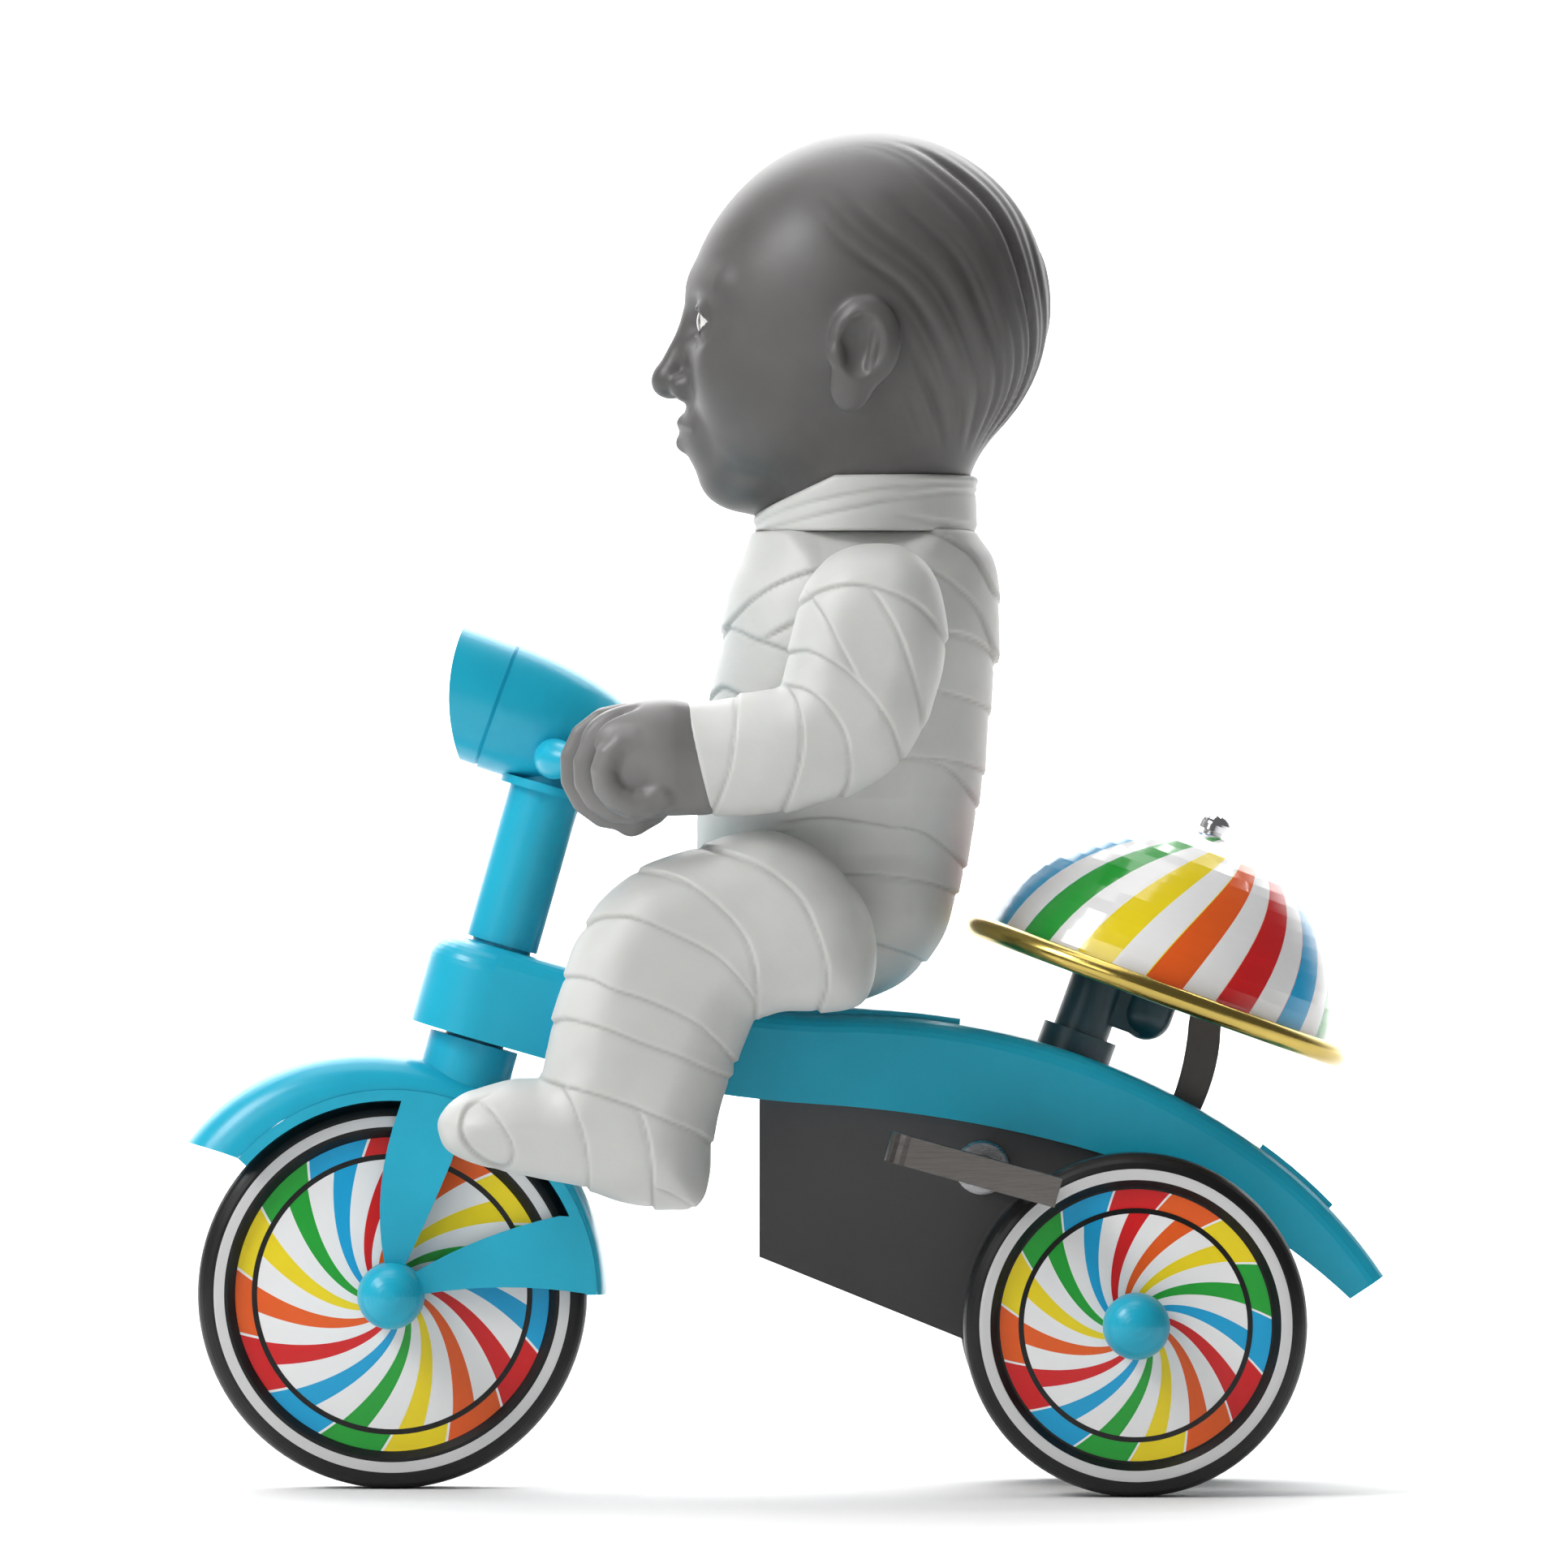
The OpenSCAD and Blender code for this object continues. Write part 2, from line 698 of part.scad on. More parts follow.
module rear_hub_right() {
    color("white") hub(rear_axle_at, rear_tyre_w, track / 2);
}

// ---------------------------------------------------------------- steering

function step_up(t) = t * t * (3 - 2 * t);

// Height of the fender's crown above its crease, along the fender from back to front
function crown_rise(f) = (crown_rear_r - crease_r)
    + (crown_front_r - crown_rear_r) * step_up(min(pow(f * 1.02, 1.2), 1));

// Section of the crown: across from -1 to 1, and how far in from the outer face
function crown_ring(f, n) =
    let (h = crown_rise(f), w = front_face, t = fender_wall)
    let (section = concat(
        [for (i = [0 : n]) let (a = 180 * i / n)
            [w * square_cos(a, 3.2) * -1, h * square_sin(a, 3.2)]],
        [for (i = [n : -1 : 0]) let (a = 180 * i / n)
            [(w - t) * square_cos(a, 3.2) * -1, (h - t) * square_sin(a, 3.2)]]))
    [for (p = section)
        let (k = max(0, p[1]) / h, a = f * (138.4 + (fender_front_a - 138.4) * k), r = crease_r + 0.015 + p[1])
        [front_axle_at[0] + r * cos(a), p[0], front_axle_at[1] + r * sin(a)]];

module front_fender() {
    color(cyan) difference() {
        skin([for (i = [0 : 34]) crown_ring(i / 34, 14)]);
        in_column() translate([0, 0, 12]) cylinder(r = stem_d / 2, h = 20);
    }
}

module fork_stem() {
    color(cyan) in_column() difference() {
        translate([0, 0, front_wheel_r + 1.6])
            cylinder(r = stem_d / 2, h = head_bottom - free_gap - front_wheel_r - 1.6);
        translate([0, 0, front_wheel_r + 3]) cylinder(r = column_d / 2 - 0.5, h = 20);
    }
}

// Side plate: the fender's flange with a front and a rear blade that meet at the hub
module fork_plate() {
    p = front_axle_at;
    k = front_wheel_r / 15.8;
    difference() {
        union() {
            difference() {
                rod(front_axle_at, crease_r, blade_in, front_face);
                rod(front_axle_at, flange_in_r, 0, 20);
                slab(0, 20) polygon([p, p + 40 * [cos(138.4), sin(138.4)], p + [-60, -10],
                    p + [0, -60], p + [60, -10], p + [40, 0]]);
            }
            rod(front_axle_at, 2.7, blade_in, front_face);
            slab(blade_in, front_face) polygon([for (q = concat(
                bend([1.2, 2.66], [2.6, 5.4], [4.9, 10.9], 8),
                [[5.4, 13.0], [4.4, 16.0 / k], [1.0, 16.4 / k], [0.7, 15.4]],
                bend([0.65, 15.2], [-1.73, 8.7], [-0.57, 2.6], 8), [[0.3, 1.2]])) p + k * q]);
            slab(blade_in, front_face) polygon([for (q = concat(
                bend([2.0, 1.9], [7.2, 5.0], [13.6, 6.4], 8),
                [[15.2, 6.3], [16.3 / k, 3.0], [16.6 / k, 0]],
                bend([15.8, 0.1], [9.3, 1.15], [2.7, 0.1], 8), [[1.2, 0.5]])) p + k * q]);
        }
        rod(front_axle_at, axle_r + run_gap, 0, 20);
    }
}

module fork_blade_left() {
    color(cyan) mirror([0, 1, 0]) fork_plate();
}

module fork_blade_right() {
    color(cyan) fork_plate();
}

lamp_back = -5.6;
lamp_up = bar_level + 2.9;
lamp_lift = 4;
spigot_r = 2.5;

// The headlight's own frame: z runs forward along its axis, x up
module in_lamp() {
    in_column() translate([lamp_back, 0, lamp_up]) rotate([0, -90 + lamp_lift, 0]) children();
}

module bar_hole(r) {
    in_column() translate([0, 0, bar_level]) rotate([90, 0, 0]) translate([0, 0, -20])
        cylinder(r = r, h = 40);
}

module steering_column() {
    flange = bar_level - 2.9;
    color(cyan) difference() {
        in_column() {
            translate([0, 0, front_wheel_r + 3])
                cylinder(r = column_d / 2 - 0.5, h = head_top + free_gap - front_wheel_r - 3);
            translate([0, 0, head_top + free_gap])
                cylinder(r = column_d / 2, h = flange - head_top - free_gap);
            translate([0, 0, flange]) cylinder(r = column_d / 2 + 0.85, h = 0.7);
            translate([0, 0, flange + 0.7]) cylinder(r = spigot_r, h = 4.4);
        }
        bar_hole(bar_d / 2);
    }
}

// Swept handlebar: its path gives places behind the column and across the toy
bar_half = concat(
    bend([0, 5.0], [0, 7.0], [bar_sweep / 2, 7.7], 6),
    bend([bar_sweep / 2, 7.7], [bar_sweep, 8.4], [bar_sweep, 10.2], 6),
    [[bar_sweep, arm_y + 2.4]]);
bar_path = concat([for (p = flip(bar_half)) [p[0], -p[1]]], [[0, -4], [0, 4]], bar_half);

function bar_ring(i, n) =
    let (p = bar_path[i], a = bar_path[max(i - 1, 0)], b = bar_path[min(i + 1, len(bar_path) - 1)])
    let (t = (b - a) / norm(b - a), f = min(max((abs(p[1]) - 5.6) / 4.2, 0), 1))
    let (r = bar_d / 2 + (bar_end_d / 2 - bar_d / 2) * f)
    [for (k = [0 : n - 1])
        let (w = 360 * k / n, back = p[0] + r * cos(w) * t[1], up = r * sin(w))
        let (q = column_point(back, bar_level + (grip_level - bar_level) * p[0] / bar_sweep + up))
        [q[0], p[1] - r * cos(w) * t[0], q[1]]];

module handlebar() {
    color(cyan) skin([for (i = [0 : len(bar_path) - 1]) bar_ring(i, smooth_n)]);
}

module lamp_shell() {
    inner = lamp_r - 0.7;
    color(cyan) difference() {
        in_lamp() rotate_extrude($fn = 64) polygon(concat(
            [for (k = [0 : 18]) let (a = 5 * k) [lamp_r * cos(a), -lamp_l * sin(a)]],
            [for (k = [18 : -1 : 0]) let (a = 5 * k) [inner * cos(a), -(lamp_l - 0.7) * sin(a)]]));
        bar_hole(bar_d / 2);
        in_column() translate([0, 0, bar_level - 4]) cylinder(r = spigot_r, h = 6.2);
        in_column() translate([0, 0, bar_level - 6]) cylinder(r = column_d / 2 + 0.85, h = 3.8);
    }
}

module lamp_hood() {
    color(cyan) intersection() {
        in_lamp() rotate_extrude($fn = 64) polygon([
            [lamp_r - 0.7, 0], [lamp_r - 0.25, 0], [lamp_r - 0.1, 0.3], [lamp_r - 0.1, 7], [lamp_r - 0.7, 7]]);
        in_lamp() translate([4.6, 20, -11.1]) rotate([90, 0, 0]) cylinder(r = 15.95, h = 40, $fn = 120);
    }
}

module lamp_reflector() {
    r = lamp_r - 0.7;
    color(steel) in_lamp() rotate_extrude($fn = 64) polygon([
        [0, -2.6], [1.6, -2.3], [3.4, -1.2], [r, 0], [r, 0.4], [r - 0.3, 0.4], [3.2, -0.8],
        [1.5, -1.9], [0, -2.2]]);
}

module lamp_lens() {
    r = lamp_r - 0.7;
    color("azure") in_lamp() rotate_extrude($fn = 64) polygon([
        [0, 0.9], [2.4, 0.75], [r, 0.4], [r, 0.8], [2.4, 1.2], [0, 1.4]]);
}

// ---------------------------------------------------------------- bell

function dome(r, h, a) = [r * cos(a), h * sin(a)];
dome_top_a = acos((post_r + run_gap) / bell_r);

module bell_dome() {
    r = bell_r - bell_wall;
    h = bell_h - bell_wall;
    low = 0.3;
    hole = post_r + run_gap;
    outer = [for (k = [0 : 18]) let (a = k * acos(hole / bell_r) / 18) dome(bell_r, bell_h, a)];
    inner = [for (k = [18 : -1 : 0]) let (a = k * acos(hole / r) / 18) dome(r, h, a)];
    color("white") in_bell() rotate_extrude($fn = 120) polygon(concat(
        [[bell_r, -low]], outer, inner, [[r, -low]]));
}

module bell_rim() {
    q = bell_bead_d / 2;
    c = bell_r + q;
    color("gold") in_bell() rotate_extrude($fn = 120) translate([c, 0]) circle(r = q, $fn = 24);
}

module bell_bracket() {
    color([0.03, 0.16, 0.2]) difference() {
        in_bell() difference() {
            union() {
                translate([-4.55, 0, -12]) cylinder(r = 3.1, h = 6.7);
                translate([-4.55, 0, -8]) cylinder(r = 2.3, h = 7.4);
                translate([-4.55, -1.3, -4.0]) cube([4.5, 2.6, 3.2]);
                translate([0, 0, -2.1]) sphere(r = boss_r);
                translate([0, 0, -2.1]) cylinder(r = boss_r, h = 1.9);
            }
            translate([0, 0, -3]) cylinder(r = 1.2, h = 10);
            translate([-4.55, 0, -14]) cylinder(r = 0.7, h = 12);
        }
        rod(case_arch, arch_r, -10, 10);
    }
}

module bell_post() {
    shoulder = bell_h - bell_wall - 0.35;
    color(steel) in_bell() {
        translate([0, 0, -3]) cylinder(r = 1.2, h = shoulder + 3);
        translate([0, 0, shoulder]) cylinder(r = post_r, h = bell_h + 0.7 - shoulder);
    }
}

module bell_nut() {
    z = bell_h + 0.25;
    color("gainsboro") in_bell() difference() {
        rotate_extrude() polygon(concat(
            [[0, z], [1.3, z], [1.3, z + 0.5]],
            [for (k = [0 : 8]) let (a = 11.25 * k) [k == 8 ? 0 : 1.3 * cos(a), z + 0.5 + 1.0 * sin(a)]]));
        cylinder(r = post_r, h = bell_h + 0.7);
    }
}

module bracket_screw() {
    color(steel) in_bell() {
        translate([-4.55, 0, -8.6]) cylinder(r = 0.7, h = 6.6);
        translate([-4.55, 0, -9.5]) cylinder(r = 1.4, h = 0.95);
    }
}

// ---------------------------------------------------------------- striker

hammer_in = bell_r - bell_wall - 2.5;
hammer_up = 2.8;
hammer_at = [bell_at[0] + hammer_in * cos(bell_tilt) + hammer_up * sin(bell_tilt),
    bell_at[1] - hammer_in * sin(bell_tilt) + hammer_up * cos(bell_tilt)];

module striker_lever() {
    color("gray") difference() {
        union() {
            slab(-lever_t / 2, lever_t / 2) polygon(concat(
                bend([30.7, 29.6], [32.6, 33.4], [32.9, 37.8], 8),
                bend([33.2, 39.4], [33.8, 42.6], [hammer_at[0] - 0.2, hammer_at[1] + 0.9], 6),
                bend([hammer_at[0] + 0.2, hammer_at[1] - 1.0], [36.2, 40.9], [35.6, 38.4], 6),
                bend([35.5, 37.2], [35.4, 33.2], [33.0, 29.0], 8)));
            rod(pivot_at, 1.5, -lever_t / 2, lever_t / 2);
            rod(hammer_at, 1.15, -lever_t / 2, lever_t / 2);
            slab(-lever_t / 2, lever_t / 2) polygon([
                pivot_at + [-1.3, -0.5], pivot_at + [0.5, -1.2],
                rear_axle_at + [2.0, star_r + 1.6], rear_axle_at + [1.4, star_r + 0.5],
                rear_axle_at + [0.6, star_r + 1.5]]);
        }
        rod(pivot_at, 0.5 + run_gap, -5, 5);
        rod(hammer_at, 0.6, -5, 5);
    }
}

module striker_hammer() {
    color(steel) rod(hammer_at, 0.6, -lever_t / 2, lever_t / 2);
    color(steel) both_sides() rod(hammer_at, 1.3, lever_t / 2, lever_t / 2 + 1);
}

module striker_pin() {
    color(steel) rod(pivot_at, 0.5, -frame_half + 0.5, frame_half);
}

// ---------------------------------------------------------------- rider

module torso() {
    w = chest_half_w;
    color("gainsboro") difference() {
        skin([
            level_ring(neck_low - 0.15, -2.1, 15.2, 8.5, smooth_n),
            level_ring(75.6, -3.4, 16.6, w - 0.6, smooth_n),
            level_ring(72.1, -4.4, 17.3, w, smooth_n),
            level_ring(68.2, -5.0, 17.3, w, smooth_n),
            level_ring(63.6, -6.0, 16.7, w - 0.3, smooth_n),
            level_ring(58.9, -6.6, 16.2, w - 0.8, smooth_n),
            level_ring(54.6, -7.0, 15.6, w - 1.8, smooth_n),
            level_ring(51.7, -6.9, 15.0, hip_face, smooth_n, 3),
            level_ring(48, -6.4, 14.0, hip_face, smooth_n, 3),
            level_ring(45.1, -5.8, 13.0, hip_face, smooth_n, 3),
            level_ring(42.8, -5.2, 11.4, hip_face, smooth_n, 3),
            level_ring(40.8, -4.2, 9.4, hip_face - 0.5, smooth_n, 3),
            level_ring(39.3, -3.0, 6.6, hip_face - 1.8, smooth_n, 3),
            level_ring(38.6, -2.4, 4.5, hip_face - 2.4, smooth_n, 3)]);
        pads();
        frame_curve(5.8, 40, frame_half, 0, 5, shell_round);
        both_sides() {
            rod(hip_at, peg_r + run_gap, 2.2, 20);
            rod(shoulder_at, peg_r + run_gap, 4.6, 20);
        }
        translate([neck_x, 0, neck_low - 7]) cylinder(r = peg_r + run_gap, h = 10);
        translate([3, 0, 30]) cylinder(r = 0.8, h = 14);
    }
}

module seat_screw() {
    color(steel) translate([3, 0, 0]) {
        translate([0, 0, seat_z - shell_wall - 1]) cylinder(r = 0.8, h = 6.8);
        translate([0, 0, seat_z - shell_wall - 1]) cylinder(r = 1.6, h = 1);
    }
}

module neck_wrap() {
    color("gainsboro") difference() {
        translate([neck_x, 0, 0]) rotate_extrude($fn = 64) polygon(concat(
            [[0, neck_low + 0.15], [neck_r - 0.5, neck_low + 0.15]],
            [for (k = [0 : 6]) [neck_r - 0.55 * (1 - sin(30 * k)), neck_low + 0.3 + 0.4 * k]],
            [[neck_r - 0.8, neck_high], [0, neck_high]]));
        translate([neck_x, 0, neck_low]) cylinder(r = peg_r, h = 2);
    }
    color("gainsboro") translate([neck_x, 0, neck_low - 6.4]) cylinder(r = peg_r, h = 8.4);
}

module head() {
    color("dimgray") skin([
        level_ring(110.1, 4.4, 10.6, 3.2, smooth_n, 2),
        level_ring(109.1, 0.4, 14.6, 7.0, smooth_n, 2),
        level_ring(106.6, -2.9, 18.0, 10.2, smooth_n, 2),
        level_ring(103, -5.6, 20.3, 12.2, smooth_n, 2),
        level_ring(98.5, -7.2, 21.6, 13.4, smooth_n, 2),
        level_ring(94, -8.0, 21.7, 13.6, smooth_n, 2),
        level_ring(90, -8.4, 20.6, 13.2, smooth_n, 2),
        level_ring(86.6, -7.8, 18.6, 11.4, smooth_n, 2),
        level_ring(84.2, -7.2, 16.4, 9.8, smooth_n, 2),
        level_ring(neck_high, -6.6, 14.6, 7.8, smooth_n, 2)]);
    color("dimgray") skin([
        level_ring(neck_high + 0.4, -6.8, -2.8, 4.4, smooth_n, 2),
        level_ring(81, -6.6, -3.0, 3.9, smooth_n, 2),
        level_ring(79.8, -6.0, -3.6, 2.4, smooth_n, 2)]);
}

// Arm on the +y side: a hanging upper arm and a level forearm
module arm() {
    w = arm_y - chest_half_w - free_gap;
    y = arm_y;
    s = shoulder_at;
    difference() {
        union() {
            limb([
                [s[0] + 0.7, s[1] + 4.9, 0, 1.8, w * 0.5, y], [s[0] + 0.6, s[1] + 4.0, 0, 3.5, w * 0.8, y],
                [s[0] + 0.4, s[1] + 2.3, 0, 4.9, w * 0.96, y], [s[0], s[1] - 0.5, 0, 5.9, w, y],
                [6.8, 68.6, 0, 6.2, w, y], [6.4, 66, 0, 6.2, w, y], [6.1, 63.5, 0, 5.9, w, y],
                [6.0, 60.6, 0, 4.9, w * 0.98, y], [5.6, 58.2, 0, 3.2, w * 0.85, y],
                [5.4, 56.8, 0, 1.5, w * 0.5, y]]);
            limb([
                [9.9, 60.6, -90, 1.8, w * 0.5, y], [9.0, 60.7, -90, 3.2, w * 0.8, y],
                [5.5, 60.7, -90, 4.4, w, y], [0, 60.1, -90, 5.1, w, y],
                [-4, 59.5, -90, 4.75, w, y - 0.6], [-6.9, 59.3, -90, 4.5, w * 0.96, y - 0.9]]);
        }
    }
    rod(shoulder_at, peg_r, 5, arm_y);
}

module hand() {
    w = arm_y - chest_half_w - free_gap;
    c = fist_at;
    y0 = fist_in;
    difference() {
        union() {
            limb([
                [-6.9, 59.2, -90, 3.9, w * 0.9, arm_y - 0.9], [-8.4, 58.9, -90, 4.2, w * 0.9, arm_y - 1.0],
                [-10.5, 58.6, -90, 4.6, w * 0.84, arm_y - 1.1]]);
            skin([
                side_ring(c + [-0.8, 0.5], 4.2, 4.6, y0, smooth_n),
                side_ring(c + [-0.8, 0.5], 4.9, 5.2, y0 + 0.9, smooth_n),
                side_ring(c + [-0.8, 0.5], 5.1, 5.4, y0 + 2.4, smooth_n),
                side_ring(c + [-0.8, 0.5], 5.1, 5.4, y0 + 5.2, smooth_n),
                side_ring(c + [-0.8, 0.5], 4.8, 5.0, y0 + 6.6, smooth_n),
                side_ring(c + [-0.8, 0.5], 4.0, 4.2, y0 + 7.4, smooth_n)]);
        }
        rod(c, fist_bore_r, 0, 30);
    }
}

module left_arm() {
    color("gainsboro") mirror([0, 1, 0]) arm();
}

module right_arm() {
    color("gainsboro") arm();
}

module left_hand() {
    color("dimgray") mirror([0, 1, 0]) hand();
}

module right_hand() {
    color("dimgray") hand();
}

// Leg on the +y side: thigh, shin and foot
module leg() {
    w = leg_y - hip_face - free_gap;
    y = leg_y;
    limb([
        [7.7, 45.3, -90, 2.2, w * 0.5, y], [6.7, 45.3, -90, 4.4, w * 0.8, y],
        [4.4, 45.3, -90, 6.4, w * 0.97, y], [1, 45.3, -90, 7.1, w, y],
        [-4, 44.9, -90, 7.0, w, y], [-9, 44.3, -90, 6.9, w, y],
        [-13, 43.4, -90, 6.1, w * 0.98, y], [-15.9, 42.8, -90, 4.4, w * 0.9, y],
        [-17.3, 42.6, -90, 2.2, w * 0.6, y]]);
    limb([
        [-10.6, 50, 0, 2.8, w * 0.6, y], [-10.7, 48.2, 0, 5.2, w * 0.9, y],
        [-10.8, 44.5, 0, 7.0, w, y], [-11, 39, 0, 7.5, w, y],
        [-11.1, 34.5, 0, 7.3, w, y], [-11.4, 30, 0, 6.4, w * 0.96, y],
        [-11.6, 26.4, 0, 5.0, w * 0.85, y]]);
    limb([
        [-4.9, 27.6, -90, 2.4, w * 0.5, y + 0.3], [-6.2, 27.8, -90, 3.9, w * 0.75, y + 0.3],
        [-9.5, 28.3, -90, 5.1, w * 0.86, y + 0.4], [-15, 28.7, -90, 4.7, w * 0.86, y + 0.4],
        [-20, 28.7, -90, 3.7, w * 0.86, y + 0.4], [-24.5, 28.6, -90, 3.0, w * 0.8, y + 0.4],
        [-26.7, 28.7, -90, 2.1, w * 0.65, y + 0.4], [-27.6, 28.8, -90, 1.1, w * 0.4, y + 0.4]]);
    rod(hip_at, peg_r, 2.6, leg_y);
}

module left_leg() {
    color("gainsboro") mirror([0, 1, 0]) leg();
}

module right_leg() {
    color("gainsboro") leg();
}

frame_shell();
motor_case_left();
motor_case_right();
case_screws();
mainspring();
spring_post();
key_eyelet();
bell_bracket();
bell_post();
bracket_screw();
striker_pin();
torso();
seat_screw();
steering_column();
fork_stem();
front_fender();
fork_blade_left();
fork_blade_right();
handlebar();
lamp_shell();
lamp_hood();
lamp_reflector();
lamp_lens();
front_axle();
front_hub_caps();
front_tyre();
front_discs();
front_hub();
rear_axle();
rear_tyre_left();
rear_tyre_right();
rear_discs_left();
rear_discs_right();
rear_hub_left();
rear_hub_right();
rear_hub_caps();
axle_pinion();
star_cam();
idler_arbor();
idler_gear();
idler_pinion();
key_bow();
winding_arbor();
great_wheel();
bell_dome();
bell_rim();
bell_nut();
striker_lever();
striker_hammer();
head();
neck_wrap();
left_arm();
left_hand();
right_arm();
right_hand();
left_leg();
right_leg();
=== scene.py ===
import json
import math
import bpy
import numpy as np
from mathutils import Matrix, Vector


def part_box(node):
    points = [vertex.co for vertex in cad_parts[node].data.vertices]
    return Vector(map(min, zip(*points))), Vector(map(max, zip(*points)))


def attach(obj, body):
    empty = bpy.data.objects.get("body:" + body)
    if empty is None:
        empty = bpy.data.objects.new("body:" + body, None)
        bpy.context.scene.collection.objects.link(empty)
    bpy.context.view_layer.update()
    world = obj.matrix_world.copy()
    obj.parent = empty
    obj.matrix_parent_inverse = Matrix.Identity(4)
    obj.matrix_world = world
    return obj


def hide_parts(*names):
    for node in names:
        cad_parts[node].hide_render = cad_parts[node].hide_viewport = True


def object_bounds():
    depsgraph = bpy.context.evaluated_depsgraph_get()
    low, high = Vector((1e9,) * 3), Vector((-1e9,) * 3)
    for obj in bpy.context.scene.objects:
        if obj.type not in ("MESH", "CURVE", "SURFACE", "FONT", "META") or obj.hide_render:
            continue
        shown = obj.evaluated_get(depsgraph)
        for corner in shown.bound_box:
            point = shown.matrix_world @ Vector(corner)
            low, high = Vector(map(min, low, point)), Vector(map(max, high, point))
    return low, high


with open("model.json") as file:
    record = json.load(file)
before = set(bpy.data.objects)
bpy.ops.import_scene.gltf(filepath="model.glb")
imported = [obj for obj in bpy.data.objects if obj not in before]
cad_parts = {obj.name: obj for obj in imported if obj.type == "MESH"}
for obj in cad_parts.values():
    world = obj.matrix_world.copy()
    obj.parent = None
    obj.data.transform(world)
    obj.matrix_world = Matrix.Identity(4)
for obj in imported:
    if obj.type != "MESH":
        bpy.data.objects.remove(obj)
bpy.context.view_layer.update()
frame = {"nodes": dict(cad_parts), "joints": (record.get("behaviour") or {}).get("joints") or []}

MM = 0.001
LEFT, RIGHT = -1, 1
JOINTS = {joint["name"]: joint for joint in frame["joints"]}


def pivot(joint):
    """Where a joint turns, in millimetres."""
    return np.array(JOINTS[joint]["pos_m"]) / MM


def span(node):
    """Lowest and highest corner of a CAD node, in millimetres."""
    low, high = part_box(node)
    return np.array(low) / MM, np.array(high) / MM


def middle(node):
    low, high = span(node)
    return (low + high) / 2


# ---------------------------------------------------------------- shader expressions

class Wire:
    """One value, colour or vector on its way through a material; operators add Math nodes."""

    def __init__(self, paint, socket):
        self.paint = paint
        self.socket = socket

    def math(self, operation, *others):
        return self.paint.node("ShaderNodeMath", {"operation": operation}, [self, *others])

    def __add__(self, other): return self.math("ADD", other)
    def __radd__(self, other): return self.math("ADD", other)
    def __mul__(self, other): return self.math("MULTIPLY", other)
    def __rmul__(self, other): return self.math("MULTIPLY", other)
    def __sub__(self, other): return self.math("SUBTRACT", other)
    def __truediv__(self, other): return self.math("DIVIDE", other)
    def __pow__(self, other): return self.math("POWER", other)
    def __gt__(self, other): return self.math("GREATER_THAN", other)
    def __lt__(self, other): return self.math("LESS_THAN", other)
    def __abs__(self): return self.math("ABSOLUTE")

    def __rsub__(self, other):
        return self.paint.node("ShaderNodeMath", {"operation": "SUBTRACT"}, [other, self])

    def fraction(self): return self.math("FRACT")
    def log(self): return self.math("LOGARITHM", math.e)
    def between(self, low, high): return (self > low) * (self < high)

    def ease(self, low, high):
        """0 below low, 1 above high, smooth between."""
        return self.paint.node("ShaderNodeMapRange", {"interpolation_type": "SMOOTHSTEP"},
                               {"Value": self, "From Min": low, "From Max": high})


